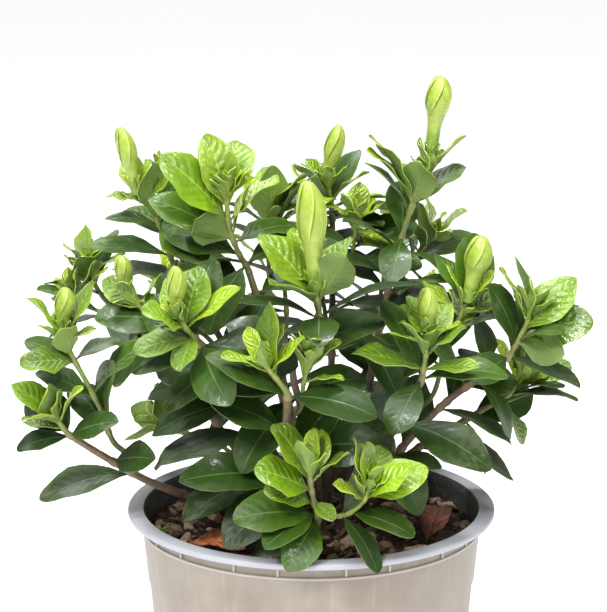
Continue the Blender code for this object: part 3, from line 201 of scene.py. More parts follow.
STEMS: tuple[Growth, ...] = (
    Growth(
        "stem_left", None, (-22, -4), (2.6, 1.8),
        ((-44, -9, 149), (-67, -15, 160), (-84, -20.5, 169), (-96, -26, 178), (-107, -35, 188),
         (-118, -44, 198.5)),
        ((0.66, 194, 10, "M", 1.15), (0.76, 22, 40, "M", 0.75)),
    ),
    Growth(
        "stem_left_back", None, (-15, 13), (2.2, 1.6),
        ((-38, 28, 168), (-66, 40, 203), (-90, 48, 230), (-107, 52, 244)),
        stem_foliage(100),
    ),
    Growth(
        "stem_left_centre", None, (-14, -11), (2.6, 1.8),
        ((-20, -17, 170), (-32, -30, 205), (-44, -46, 232), (-52, -57, 247)),
        ((0.25, 197, 30, "M", 1.3), (0.48, 192, 22, "M", 1.25), (0.66, 200, 5, "M", 1.1),
         (0.42, -60, 30, "M", 1), (0.6, 20, 20, "M", 1.1), (0.8, 60, -20, "M", 1),
         (0.86, 215, 10, "M", 0.8), (0.3, 215, -20, "M", 1), (0.74, 165, -30, "M", 1)),
    ),
    Growth(
        "stem_back_left", None, (-6, 3), (2.4, 1.7),
        ((-22, 11, 180), (-40, 16, 220), (-56, 17, 250), (-69, 15, 271)),
        stem_foliage(60)
        + ((0.9, 215, 25, "M", 1), (0.95, 170, 0, "M", 0.9), (0.6, 20, 10, "M", 1)),
    ),
    Growth(
        "stem_centre_left", None, (3, -5), (2.4, 1.8),
        ((-6, -7, 180), (-16, -10, 225), (-25, -13, 255), (-31, -15, 275)),
        stem_foliage(200)
        + ((0.9, 165, 25, "M", 1), (0.92, 10, 25, "M", 0.95), (0.74, 4, -10, "M", 1.15),
           (0.6, 175, 25, "M", 1)),
    ),
    Growth(
        "stem_front_centre", None, (-5, -21), (2.6, 2.2),
        ((-8, -42, 165), (-11, -62, 195), (-12, -74, 214), (-11.5, -80.5, 228)),
        ((0.8, 155, 0, "M", 0.95), (0.6, 50, -10, "M", 1), (0.5, 178, 20, "M", 1.35),
         (0.66, 5, 5, "M", 1.1), (0.42, 215, 30, "M", 1.1)),
    ),
    Growth(
        "stem_centre", None, (5, -15), (2.5, 1.7),
        ((2, -25, 175), (-5, -42, 212), (-9, -53, 238), (-3, -58, 252), (2, -60, 261)),
        ((0.58, -8, 22, "M", 1.25), (0.65, -125, 28, "M", 1.15), (0.8, 160, 10, "M", 1.1),
         (0.85, 20, 0, "M", 1.1), (0.45, 30, -10, "M", 1)),
    ),
    Growth(
        "stem_back_centre", None, (6, 9), (2.4, 1.6),
        ((9, 22, 180), (11, 30, 230), (11, 31, 270), (11, 30, 293)),
        stem_foliage(30)
        + ((0.95, 150, 10, "M", 0.9), (0.9, 20, 20, "M", 0.95), (0.62, 170, 30, "M", 1.15),
           (0.7, 8, 20, "M", 1)),
    ),
    Growth(
        "stem_right_front", None, (13, -9), (2.5, 1.8),
        ((23, -19, 162), (34, -31, 186), (45, -48, 211), (52, -60, 229.5)),
        ((0.5, 97, 15, "M", 1.15), (0.74, -20, 25, "M", 1.25), (0.8, 120, -10, "L", 1.1),
         (0.55, -60, 20, "M", 0.9), (0.72, 170, 10, "M", 1.1), (0.4, 10, 20, "M", 0.9)),
    ),
    Growth(
        "stem_right", None, (18, 0), (2.5, 1.6),
        ((37, -8, 170), (55, -15, 195), (70, -21, 212), (85, -27, 225), (96, -31.5, 235)),
        ((0.52, -25, 10, "M", 1.3), (0.8, 130, 10, "L", 1), (0.86, -60, 10, "M", 0.8),
         (0.8, 30, -30, "M", 0.9), (0.66, -10, 30, "M", 1), (0.7, 84, -20, "M", 1),
         (0.9, 112, -15, "M", 0.9), (0.42, 72, -12, "M", 1)),
    ),
    Growth(
        "stem_right_low", None, (16, 10), (2.2, 1.6),
        ((31, 8, 157), (52, 5, 176), (80, 1, 195), (94, -3, 205)),
        ((0.55, -15, -20, "M", 1), (0.6, 110, -20, "M", 0.9), (0.85, 30, -10, "M", 0.9),
         (0.82, -70, 10, "M", 0.7)),
    ),
    Growth(
        "stem_right_top", None, (21, 19), (2.3, 1.7),
        ((26, 15, 180), (32, 8, 225), (38, 2, 258), (42, 0, 276)),
        stem_foliage(-20)
        + ((0.9, 30, 25, "M", 0.9), (0.95, 160, 10, "M", 0.9), (0.7, 175, 25, "M", 1),
           (0.8, 5, 10, "M", 0.9)),
    ),
    Growth(
        "stem_right_back", None, (8, 21), (2.3, 1.6),
        ((20, 33, 180), (34, 43, 225), (46, 49, 253), (50, 50, 264)),
        stem_foliage(80),
    ),
)

SHOOTS: tuple[Growth, ...] = (
    Growth(
        "shoot_front_low", None, (1, -30), (2.1, 1.2),
        ((1, -48, 149), (2.5, -66, 160), (3, -79, 169), (1, -85, 178), (-0.5, -88.5, 188), (-1.4, -90, 199)),
        ((0.9, 122, -5, "W", 1), (0.84, 152, 22, "W", 1, 20), (0.66, 178, 15, "M", 1),
         (0.67, 204, 35, "M", 0.8), (0.75, 155, 15, "Y", 0.85), (0.92, 118, 30, "N", 0.95),
         (0.92, 98, -12, "N", 0.95), (0.89, 42, 15, "Y", 0.8), (0.92, 62, 30, "N", 0.8),
         (0.76, -25, 50, "Y", 0.5), (0.95, 95, 20, "T", 1.3), (0.9, 80, -35, "Y", 0.85),
         (0.6, 228, 38, "M", 0.8), (0.45, 205, 10, "M", 0.8)),
    ),
    Growth(
        "shoot_front_low_side", "shoot_front_low", 0.66, (1.5, 1.1),
        ((12, -80, 169.5), (19, -84, 173), (25, -87, 180), (27, -89, 188)),
        ((0.75, 113, 8, "Y", 1.05), (0.8, 90, -12, "Y", 0.95), (0.8, 36, 15, "Y", 0.9, 25),
         (0.78, 24, -5, "Y", 1.05, 25), (0.3, -62, 32, "M", 0.8), (0.45, -16, 22, "M", 0.8),
         (0.75, 138, 38, "N", 1), (0.3, 60, -25, "M", 0.75), (0.9, 75, 25, "T", 1.4),
         (0.85, 62, -25, "Y", 0.9)),
    ),
    Growth(
        "shoot_front_centre", "stem_front_centre", 1.0, (1.9, 1.2),
        ((-16, -84.5, 238), (-23, -87, 247)),
        ((0.6, 95, -8, "W", 1.1), (0.05, -2, 15, "M", 1.05), (0.05, 150, 5, "M", 1.05),
         (0.8, 103, 35, "N", 0.85), (0.75, 156, 12, "N", 1), (0.75, 48, 15, "N", 0.95),
         (0.1, 175, -25, "M", 1), (0.8, 70, -25, "N", 0.9), (0.85, 120, -30, "N", 0.9),
         (0.9, 85, 10, "T", 1.2)),
    ),
    Growth(
        "shoot_front_centre_side", "stem_front_centre", 0.9, (1.4, 1.1),
        ((-4, -79, 235), (-2, -78.5, 246), (-1, -78.5, 253)),
        ((0.6, 65, 15, "N", 0.85), (0.6, 102, 10, "N", 0.85), (0.7, 50, -15, "N", 0.9),
         (0.55, 8, 12, "N", 0.75), (0.8, 130, 20, "T", 1.4), (0.8, 80, 40, "T", 1.4),
         (0.35, 5, -35, "M", 0.9)),
    ),
    Growth(
        "shoot_centre_bud", "stem_centre", 1.0, (1.7, 1.6),
        ((2.5, -61, 272), (1, -62.5, 288)),
        ((0.08, 14, 12, "M", 1.3), (0.35, 147, 42, "W", 1.05), (0.42, 58, 25, "W", 0.9, -60),
         (0.45, 138, 2, "Y", 1.3, 35), (0.08, 172, 15, "M", 0.95), (0.1, -80, 60, "M", 0.8),
         (0.5, 108, -25, "Y", 1.1), (0.55, 62, -20, "Y", 1), (0.7, 150, 15, "N", 0.7),
         (0.7, 30, 5, "N", 0.7), (0.3, 80, -40, "M", 0.9)),
    ),
    Growth(
        "shoot_front_left_bud", "stem_left_centre", 1.0, (1.7, 1.2),
        ((-57, -64, 255), (-62, -68, 262), (-64.5, -70, 268.5)),
        ((0.6, 133, 25, "W", 0.9, 20), (0.65, 74, -10, "W", 0.9, 25), (0.1, -60, 50, "M", 0.98),
         (0.08, -10, 10, "M", 1.15), (0.4, -110, 55, "W", 0.7), (0.35, 190, 20, "Y", 0.95),
         (0.6, 46, 8, "N", 1.3), (0.2, 205, 5, "M", 0.85), (0.35, 78, -25, "M", 0.95),
         (0.75, 152, 40, "N", 0.65), (0.8, 92, 45, "N", 0.65), (0.75, 110, -40, "Y", 0.8),
         (0.1, 150, -30, "M", 0.9)),
    ),
    Growth(
        "shoot_right_front_bud", "stem_right_front", 1.0, (1.7, 1.2),
        ((54, -64, 240), (55, -66, 250), (55, -66.5, 259)),
        ((0.3, 165, 15, "Y", 1.15), (0.55, 42, 22, "W", 0.8), (0.55, 122, 30, "Y", 0.85),
         (0.15, 120, -10, "L", 1), (0.12, 5, 5, "L", 1), (0.3, 8, 25, "N", 1.1), (0.6, 76, 35, "N", 0.7),
         (0.1, -120, 30, "M", 0.75), (0.75, 160, 15, "T", 1.5), (0.78, 20, 0, "T", 1.5),
         (0.75, 110, -25, "Y", 0.8), (0.7, 60, -25, "Y", 0.8), (0.8, 95, 30, "T", 1.2)),
    ),
    Growth(
        "shoot_right", "stem_right", 1.0, (1.6, 1.1),
        ((102, -34, 245), (106.5, -35, 255), (108, -35, 262)),
        ((0.6, 46, 0, "Y", 1.15, 45), (0.5, 16, 5, "W", 1.1, 45), (0.55, 26, -14, "Y", 1.05),
         (0.35, 4, 42, "W", 0.85, -95), (0.3, 115, 10, "M", 0.85, 30), (0.05, -6, 22, "M", 0.95),
         (0.4, 26, 18, "M", 1, 30), (0.7, 88, 10, "N", 1), (0.75, 118, 0, "N", 1.2),
         (0.75, 102, -15, "L", 0.8), (0.85, 60, 25, "N", 0.8), (0.85, 75, -20, "N", 0.9),
         (0.05, -160, 15, "M", 0.9), (0.1, 60, -35, "M", 0.9), (0.9, 100, 15, "T", 1.5)),
    ),
    Growth(
        "shoot_left_bud", "stem_left", 0.71, (1.9, 1.2),
        ((-99, -31, 192), (-105, -38, 212), (-112, -43, 229), (-117, -46, 240), (-120.5, -47.5, 249),
         (-121.5, -48, 256)),
        ((0.77, 176, 25, "W", 0.85, 25), (0.87, 112, 5, "Y", 1.05), (0.88, 66, 0, "Y", 1.1),
         (0.82, 92, 45, "Y", 0.8), (0.27, 86, 15, "M", 1), (0.54, 42, 5, "L", 1),
         (0.27, 128, -15, "M", 0.75), (0.52, 160, -5, "M", 0.75), (0.75, 160, -15, "M", 0.7),
         (0.78, 20, -20, "M", 0.6), (0.9, 140, 25, "N", 0.7), (0.9, 40, 20, "N", 0.7),
         (0.85, 100, -35, "Y", 0.8)),
    ),
    Growth(
        "shoot_left_low", "stem_left", 1.0, (1.6, 1.1),
        ((-122, -48, 204), (-126, -50, 211)),
        ((0.62, 136, 8, "Y", 1.02), (0.65, 108, 30, "Y", 0.85), (0.1, 190, 20, "M", 0.65),
         (0.1, 22, 15, "M", 0.7), (0.2, 68, -20, "M", 0.8), (0.75, 84, 0, "Y", 0.9),
         (0.75, 58, 20, "N", 1), (0.85, 160, 40, "N", 0.8), (0.9, 100, -25, "Y", 0.8),
         (0.5, 175, -10, "N", 0.8), (0.2, 150, -30, "M", 0.7), (0.9, 95, 15, "T", 1.3)),
    ),
    Growth(
        "shoot_top_right_bud", "stem_right_top", 1.0, (1.7, 1.5),
        ((46, 0, 292), (50, 0, 305), (54, 0, 315), (59, 0, 330), (61, 0, 345)),
        ((0.44, 80, 30, "W", 0.85), (0.4, 132, 2, "L", 0.8), (0.44, 38, 10, "M", 0.8, 20),
         (0.46, 96, 10, "Y", 1.1), (0.46, 109, 8, "Y", 1.4), (0.6, 50, 5, "N", 1.3),
         (0.48, 124, 12, "N", 1.45), (0.62, 80, 18, "N", 0.75), (0.65, 100, 35, "N", 0.6),
         (0.6, 150, -30, "Y", 0.7), (0.12, 150, 20, "M", 0.85), (0.12, -30, 10, "M", 0.85),
         (0.2, 90, -40, "M", 0.8), (0.2, -110, 45, "M", 0.7)),
    ),
    Growth(
        "shoot_top_centre_left", "stem_centre_left", 1.0, (1.7, 1.2),
        ((-36, -20, 286), (-40, -25, 299), (-41.5, -27.5, 312), (-41.5, -28, 321)),
        ((0.66, 135, 12, "W", 1.45, 30), (0.42, 150, 6, "L", 1.15, 25), (0.45, 143, 38, "W", 0.85, -80),
         (0.65, 42, 10, "Y", 1.05), (0.75, 104, -12, "Y", 1.25), (0.85, 84, -20, "W", 1.1),
         (0.6, 168, -15, "Y", 0.75), (0.5, 70, 18, "N", 1.3), (0.1, -120, 40, "M", 1.05),
         (0.1, 20, -20, "M", 1), (0.4, 0, -30, "M", 0.9), (0.85, 120, 15, "N", 0.7),
         (0.9, 75, 10, "N", 0.65), (0.9, 100, 25, "T", 1.3), (0.9, 60, -10, "T", 1.3),
         (0.92, 95, -25, "T", 1.4), (0.25, 165, -15, "M", 0.95)),
    ),
    Growth(
        "shoot_top_left_bud", "stem_back_left", 1.0, (1.6, 1.2),
        ((-74, 11, 285), (-79, 6, 300), (-85, 2.5, 311), (-89, 0, 319)),
        ((0.55, 100, 25, "Y", 1.15), (0.5, -28, 45, "M", 1), (0.5, 172, 8, "L", 0.65),
         (0.15, 172, 10, "L", 1), (0.55, 55, -10, "M", 0.8), (0.78, 172, 10, "Y", 0.6),
         (0.75, 60, 15, "Y", 0.7), (0.15, -20, 10, "M", 0.9), (0.25, 60, -30, "M", 0.9),
         (0.5, 30, -35, "M", 0.8), (0.8, 110, -20, "Y", 0.8), (0.85, 50, -10, "N", 0.7)),
    ),
    Growth(
        "shoot_top_left_side", "stem_back_left", 0.9, (1.4, 1),
        ((-63, 22, 272), (-69, 21, 290), (-75, 18, 306), (-78, 17, 320)),
        ((0.78, 110, 10, "N", 0.8), (0.85, 80, 0, "N", 0.7), (0.9, 60, -15, "N", 0.7),
         (0.92, 100, 10, "T", 1.3), (0.92, 75, 15, "T", 1.3), (0.92, 90, -25, "T", 1.4),
         (0.65, 15, 0, "M", 0.8), (0.65, 60, -30, "M", 0.85), (0.45, 20, -20, "M", 0.9),
         (0.45, 160, -30, "M", 0.9)),
    ),
    Growth(
        "shoot_left_mid_bud", "stem_back_left", 0.68, (1.6, 1.1),
        ((-56, 3, 240), (-76, -9, 250), (-88, -11, 259), (-93, -11, 267.5)),
        ((0.55, 172, 12, "M", 0.95), (0.5, 78, 5, "W", 1), (0.5, 225, 5, "L", 1.1),
         (0.6, -50, 25, "M", 0.9), (0.65, 60, -30, "M", 0.8), (0.8, 60, 20, "Y", 0.7),
         (0.8, 150, -15, "Y", 0.8), (0.82, 165, 25, "N", 0.6), (0.85, 20, 15, "N", 0.6),
         (0.9, 120, 40, "T", 1.2)),
    ),
    Growth(
        "shoot_left_back", "stem_left_back", 1.0, (1.5, 1),
        ((-114, 52, 253), (-119, 51, 264)),
        ((0.5, 112, 35, "Y", 0.8), (0.3, 165, 15, "M", 0.75), (0.3, 20, -15, "M", 0.9),
         (0.2, -20, 20, "M", 0.8), (0.55, 70, -30, "M", 0.8), (0.7, 125, 10, "Y", 0.8),
         (0.75, 98, -10, "Y", 0.9), (0.8, 62, 10, "N", 0.8), (0.9, 80, 20, "N", 0.6),
         (0.9, 110, 25, "T", 1.3), (0.8, 40, 0, "Y", 0.7), (0.9, 85, -25, "T", 1.4)),
    ),
    Growth(
        "shoot_left_back_side", "stem_left_back", 0.86, (1.4, 1),
        ((-106, 42, 240), (-120, 40, 247), (-128, 40, 256)),
        ((0.55, 158, 10, "M", 0.85), (0.7, 112, 35, "Y", 0.85), (0.75, 78, 10, "Y", 0.8),
         (0.45, 200, 10, "M", 0.8), (0.8, 140, -15, "Y", 0.8), (0.8, 50, -10, "N", 0.9),
         (0.9, 100, 0, "N", 0.7), (0.5, -40, 10, "M", 0.8)),
    ),
    Growth(
        "shoot_top_centre", "stem_centre_left", 0.68, (1.6, 1.1),
        ((-13, 0, 241), (-14, 12, 264), (-19, 15, 290), (-22, 15, 306)),
        ((0.78, 92, 15, "Y", 1.25), (0.8, 62, 5, "M", 0.95), (0.8, 118, 5, "M", 0.95),
         (0.85, 86, -22, "W", 1), (0.88, 130, -12, "Y", 0.9), (0.88, 50, -20, "Y", 0.9),
         (0.5, 160, 15, "M", 0.9), (0.5, -10, -10, "M", 0.95), (0.7, 150, 25, "M", 0.8),
         (0.7, 30, -20, "M", 0.9), (0.95, 80, 10, "N", 0.7), (0.95, 105, -10, "N", 0.7),
         (0.9, 66, 8, "Y", 1.25), (0.84, 33, 12, "Y", 1.15), (0.3, 192, 5, "M", 1)),
    ),
    Growth(
        "shoot_top_centre_bud", "stem_back_centre", 1.0, (1.6, 1.2),
        ((10, 30, 304), (8, 30, 318)),
        ((0.35, 130, 10, "W", 0.9), (0.45, 106, -12, "Y", 0.8), (0.3, 158, 22, "N", 1.25),
         (0.45, 38, 10, "Y", 0.8), (0.3, 14, 22, "N", 1.2), (0.15, -20, 45, "M", 0.9),
         (0.35, 62, -25, "M", 0.8), (0.1, 180, -10, "M", 0.9), (0.1, 0, 10, "M", 0.9),
         (0.7, 95, 35, "N", 0.6), (0.7, 140, -20, "T", 1.5), (0.7, 60, 20, "N", 0.6),
         (0.3, 90, -45, "M", 0.8)),
    ),
    Growth(
        "shoot_top_centre_side", "stem_back_centre", 0.78, (1.4, 1),
        ((19, 22, 268), (22, 13, 286), (23, 10, 302)),
        ((0.75, 105, 15, "Y", 0.8), (0.4, 0, 20, "M", 0.9), (0.45, 180, 20, "M", 0.8),
         (0.6, 145, 0, "M", 0.8), (0.6, 30, -10, "M", 0.9), (0.85, 85, -15, "Y", 0.7),
         (0.9, 50, 0, "N", 0.8), (0.9, 130, 10, "N", 0.8), (0.8, -20, 35, "Y", 0.8)),
    ),
    Growth(
        "shoot_right_bud", "stem_right", 0.52, (1.7, 1.2),
        ((62, -14, 213), (67, -19, 238), (74, -25, 256), (78, -27.5, 266), (79, -28, 272)),
        ((0.8, 140, 15, "Y", 0.85), (0.85, 40, 22, "Y", 0.75), (0.85, 112, 12, "N", 1),
         (0.7, 22, 25, "M", 0.85), (0.7, 165, 20, "M", 0.85), (0.85, 76, -28, "M", 0.95),
         (0.85, 120, -35, "L", 0.8), (0.9, 60, -10, "N", 0.8), (0.8, 15, -15, "Y", 0.8),
         (0.45, -15, 10, "M", 0.95), (0.45, 165, -10, "M", 0.95), (0.5, 80, -35, "M", 0.9),
         (0.6, -150, 20, "M", 0.8)),
    ),
    Growth(
        "shoot_right_low", "stem_right_low", 1.0, (1.5, 1),
        ((102, -6, 211), (108, -8, 220)),
        ((0.5, 15, 28, "M", 0.7), (0.35, 2, 20, "L", 0.9), (0.1, -60, 20, "Y", 0.8),
         (0.12, 165, -35, "M", 0.9), (0.15, 130, -10, "M", 0.8), (0.4, 60, -30, "M", 0.9),
         (0.6, 60, 5, "Y", 1), (0.7, 95, 10, "Y", 0.9), (0.75, 28, -15, "Y", 1), (0.8, 120, -20, "N", 1),
         (0.85, 75, 20, "N", 0.8)),
    ),
    Growth(
        "shoot_back_right", "stem_right_back", 1.0, (1.5, 1),
        ((57, 51, 272), (64, 50, 281)),
        ((0.6, 95, 30, "W", 1), (0.6, 112, 42, "Y", 0.9), (0.5, 130, 12, "Y", 1.05), (0.6, 42, 0, "Y", 1),
         (0.1, 155, 20, "M", 1.1), (0.15, 20, -15, "M", 0.95), (0.1, -60, 20, "M", 0.85),
         (0.3, 110, -40, "M", 0.9), (0.7, 75, -15, "Y", 0.9), (0.8, 60, 20, "N", 0.8),
         (0.85, 100, 0, "N", 0.8), (0.8, 150, -20, "N", 0.9)),
    ),
    Growth(
        "shoot_low_left_back", "stem_left_back", 0.3, (1.5, 1),
        ((-52, 42, 172), (-72, 50, 174), (-85, 54, 181)),
        ((0.75, 150, 0, "Y", 0.85), (0.8, 105, 10, "Y", 0.85), (0.4, 230, -10, "M", 0.9),
         (0.4, 40, -20, "M", 0.9), (0.85, 30, 10, "N", 1), (0.85, 70, -20, "Y", 0.8),
         (0.75, -30, 10, "Y", 0.8), (0.8, 190, 20, "N", 1)),
    ),
    Growth(
        "shoot_back_left", "stem_left_back", 0.55, (1.6, 1.1),
        ((-66, 54, 207), (-72, 70, 224), (-76, 79, 240), (-77, 83, 252)),
        tuft(95),
    ),
    Growth(
        "shoot_back_centre", None, (-8, 25), (2.3, 1.1),
        ((-12, 44, 170), (-18, 64, 205), (-22, 77, 238), (-23, 83, 262), (-23, 85, 276)),
        tuft(60),
    ),
    Growth(
        "shoot_back_right_low", None, (18, 31), (2.3, 1.1),
        ((28, 48, 166), (44, 66, 200), (56, 78, 224), (63, 84, 243)),
        tuft(20),
    ),
    Growth(
        "shoot_back_top", "stem_back_centre", 0.6, (1.6, 1.1),
        ((7, 45, 244), (2, 57, 268), (-2, 62, 290), (-3, 64, 302)),
        tuft(130),
    ),
    Growth(
        "shoot_back_right_side", "stem_right_back", 0.58, (1.5, 1.1),
        ((36, 60, 240), (40, 72, 258), (43, 77, 275)),
        tuft(75),
    ),
)

# Flower buds: name, shoot that bears it, dial angle, lean towards the front, length, largest radius
BUDS = (
    ("bud_top_left", "shoot_top_left_bud", 104, 0, 28.0, 5.0),
    ("bud_top_centre", "shoot_top_centre_bud", 76, 0, 26.0, 5.2),
    ("bud_top_right", "shoot_top_right_bud", 84, 0, 27.0, 6.6),
    ("bud_centre", "shoot_centre_bud", 95, 2, 42.0, 7.4),
    ("bud_left_mid", "shoot_left_mid_bud", 100, 0, 16.0, 4.6),
    ("bud_front_left", "shoot_front_left_bud", 90, 5, 22.0, 4.8),
    ("bud_left", "shoot_left_bud", 83, 0, 19.0, 5.0),
    ("bud_right", "shoot_right_bud", 80, 0, 25.0, 6.8),
    ("bud_right_front", "shoot_right_front_bud", 92, 3, 20.0, 5.2),
    ("bud_back", "shoot_back_centre", 96, -8, 24.0, 5.4),
)

# Share of a bud's length by which its tube runs on down over the stalk
SHORT_TUBE = 0.22
TUBES = {"bud_top_right": 0.60, "bud_centre": 0.30, "bud_right": 0.42, "bud_top_left": 0.30}

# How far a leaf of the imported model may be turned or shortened: dial, lean, size
LEAF_TRIES = (
    (0, 0, 1.0), (7, 0, 1.0), (-7, 0, 1.0), (0, 8, 1.0), (0, -8, 1.0),
    (13, 6, 0.97), (-13, -6, 0.97), (13, -6, 0.97), (-13, 6, 0.97), (0, 16, 0.94),
    (0, -16, 0.94), (21, 0, 0.94), (-21, 0, 0.94), (12, 14, 0.82), (-12, 14, 0.82),
    (12, -14, 0.82), (-12, -14, 0.82), (30, 0, 0.8), (-30, 0, 0.8), (0, 26, 0.75),
    (0, -26, 0.75), (18, 20, 0.62), (-18, -20, 0.62), (38, 8, 0.62), (-38, -8, 0.62),
)
STEM_FOOT = 139.35
GAP = 0.35
SIDE_GAP = 0.5
COARSE_STEP = 12.0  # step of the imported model's paths, along which shares are measured
FINE_STEP = 1.6
LEAF_ROOT_DEPTH = 0.8
LEAF_CREASE = 50.0  # degrees: edges of a leaf sharper than this stay sharp
NEARLY_ALONG = 0.2  # a leaf this close to its stem's line takes its upper side from the vertical
WIDEST_SIZE = 1.12  # leaves scaled up by more than this grow in length only
TIP_MATCH = 0.25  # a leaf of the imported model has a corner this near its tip


def dial_direction(dial: float, forward: float) -> Vector:
    """Unit vector for a dial angle seen from the front and a lean towards the front, in degrees.

    Args:
        dial: angle on a dial that faces the front, from +X towards +Z.
        forward: lean towards the front.

    Returns:
        The direction.
    """
    turn = math.radians(dial)
    lean = math.radians(forward)
    level = math.cos(lean)
    return Vector((math.cos(turn) * level, -math.sin(lean), math.sin(turn) * level))


def leaning(head: Vector, side: Vector, degrees: float) -> Vector:
    """A direction that leans from one unit vector towards another at right angles to it."""
    lean = math.radians(degrees)
    return head * math.cos(lean) + side * math.sin(lean)


def square_to(direction: Vector, vector: Vector) -> Vector:
    """The part of a vector at right angles to a direction."""
    return vector - direction * vector.dot(direction)


def finder(places: list[Vector]) -> kdtree.KDTree:
    """A tree that finds the nearest of some places.

    Args:
        places: points, each found again by its number in the list.

    Returns:
        The tree, ready to be asked.
    """
    tree = kdtree.KDTree(len(places))
    for index, place in enumerate(places):
        tree.insert(place, index)
    tree.balance()
    return tree


def smooth_path(points: list[Vector], step: float) -> list[Vector]:
    """Rounds a line of points without overshoot.

    Args:
        points: places that the line passes through.
        step: length between two places of the result.

    Returns:
        Places about one step apart.
    """
    heads = []
    for index, point in enumerate(points):
        head = Vector()
        if index > 0:
            head += (point - points[index - 1]).normalized()
        if index < len(points) - 1:
            head += (points[index + 1] - point).normalized()
        heads.append(head.normalized())
    path = [points[0].copy()]
    for index in range(len(points) - 1):
        start, end = points[index], points[index + 1]
        span = (end - start).length
        count = max(1, round(span / step))
        for part in range(1, count + 1):
            t = part / count
            a = 2 * t**3 - 3 * t**2 + 1
            b = t**3 - 2 * t**2 + t
            c = -2 * t**3 + 3 * t**2
            d = t**3 - t**2
            path.append(start * a + heads[index] * span * b + end * c + heads[index + 1] * span * d)
    return path


def spans(path: list[Vector]) -> list[float]:
    """Distances between the places of a path."""
    return [(b - a).length for a, b in zip(path, path[1:])]


def along(path: list[Vector], share: float) -> tuple[Vector, Vector]:
    """Point and unit tangent at a share of a path's length.

    Args:
        path: the places, in order.
        share: 0 at the first of them, 1 at the last.

    Returns:
        The point, and the tangent that leads on along the path.
    """
    steps = spans(path)
    left = sum(steps) * share
    for index, span in enumerate(steps):
        if left <= span or index == len(steps) - 1:
            here = path[index].lerp(path[index + 1], min(1.0, left / span))
            return here, (path[index + 1] - path[index]).normalized()
        left -= span
    return path[-1], (path[-1] - path[-2]).normalized()


def rolled(up: Vector, direction: Vector, roll: float) -> Vector:
    """A leaf's upper side turned about its length, towards the front, or away if negative.

    Args:
        up: the upper side before the turn, a unit vector.
        direction: the leaf's length, a unit vector.
        roll: the turn, in degrees.

    Returns:
        The upper side after the turn.
    """
    if roll == 0:
        return up
    sides = [Matrix.Rotation(math.radians(sign * roll), 3, direction) @ up for sign in (-1, 1)]
    sides.sort(key=lambda side: side.y)
    return sides[0] if roll > 0 else sides[1]


@dataclass
class Leaf:
    """One leaf in its place: all lengths in metres, all angles in radians."""

    base: Vector
    along: Vector
    up: Vector
    length: float
    width: float
    arch: float
    fold: float
    at: float
    kind: str

    def tip(self) -> Vector:
        """The point of the leaf.

        Returns:
            The place of the tip, in metres.
        """
        start = self.arch / 2
        reach = 2 * math.sin(start) / self.arch
        return self.base + self.along * reach * self.length


class Stalk:
    """The axis of one growth: where it runs, how thick it is and where its leaves stand."""

    def __init__(self, growth: Growth, line: list[Vector]) -> None:
        """Smooths the axis twice: coarsely to measure shares by, finely to draw.

        Args:
            growth: what grows.
            line: the points that it passes through, in metres.
        """
        self.growth = growth
        self.coarse = smooth_path(line, COARSE_STEP * MM)
        self.fine = smooth_path(line, FINE_STEP * MM)
        self.length = sum(spans(self.coarse))

    def radius(self, share: float) -> float:
        """Radius at a share of the length, in millimetres."""
        first, last = self.growth.radii
        return first + (last - first) * share

    def grown(self, spec: LeafSpec, change: tuple[float, float, float]) -> Leaf:
        """One leaf by its spec.

        Args:
            spec: the leaf's row in the growth's list.
            change: dial turn, lean and scale on top of the spec.

        Returns:
            The leaf in its place.
        """
        at, dial, forward, kind, size, *roll = spec
        turn, lean, scale = change
        cut = LeafKind[kind].value
        centre, head = along(self.coarse, at)
        direction = dial_direction(dial + turn, forward + lean)
        out = square_to(head, direction)
        base = centre + out.normalized() * max(0.0, self.radius(at) - LEAF_ROOT_DEPTH) * MM
        up = square_to(direction, head)
        if up.length < NEARLY_ALONG:
            up = square_to(direction, UP)
        grow = size * scale * MM
        return Leaf(
            base=base,
            along=direction,
            up=rolled(up.normalized(), direction, roll[0] if roll else 0.0),
            length=cut.length * grow,
            width=cut.width * grow * min(1.0, WIDEST_SIZE / size),
            arch=math.radians(cut.arch),
            fold=math.radians(cut.fold),
            at=at,
            kind=kind,
        )

    def leaves(self) -> list[Leaf]:
        """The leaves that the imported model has, found by the corner at each one's tip.

        Returns:
            The leaves, in the order of the growth's list.
        """
        tree = finder([corner.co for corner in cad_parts[self.growth.name].data.vertices])
        found = []
        for spec in self.growth.leaves:
            for change in LEAF_TRIES:
                leaf = self.grown(spec, change)
                if tree.find(leaf.tip())[2] < TIP_MATCH * MM:
                    found.append(leaf)
                    break
        return found


def grow_stalks() -> dict[str, Stalk]:
    """The axis of every stem and shoot, by name.

    Returns:
        Each growth's stalk, a carrier always before what grows from it.
    """
    stalks: dict[str, Stalk] = {}
    for growth in STEMS + SHOOTS:
        rest = [Vector(point) * MM for point in growth.points]
        if growth.carrier is None:
            x, y = growth.start
            first = Vector((x, y, STEM_FOOT)) * MM
            second = first + UP * 2 * MM
        else:
            carrier = stalks[growth.carrier]
            here, head = along(carrier.coarse, growth.start)
            if growth.start == 1.0:
                first = here + head * GAP * MM
                second = first + head * 2 * MM
            else:
                out = square_to(head, rest[0] - here).normalized()
                first = here + out * (carrier.radius(growth.start) + SIDE_GAP) * MM
                second = first + out * 3 * MM
        stalks[growth.name] = Stalk(growth, [first, second] + rest)
    return stalks


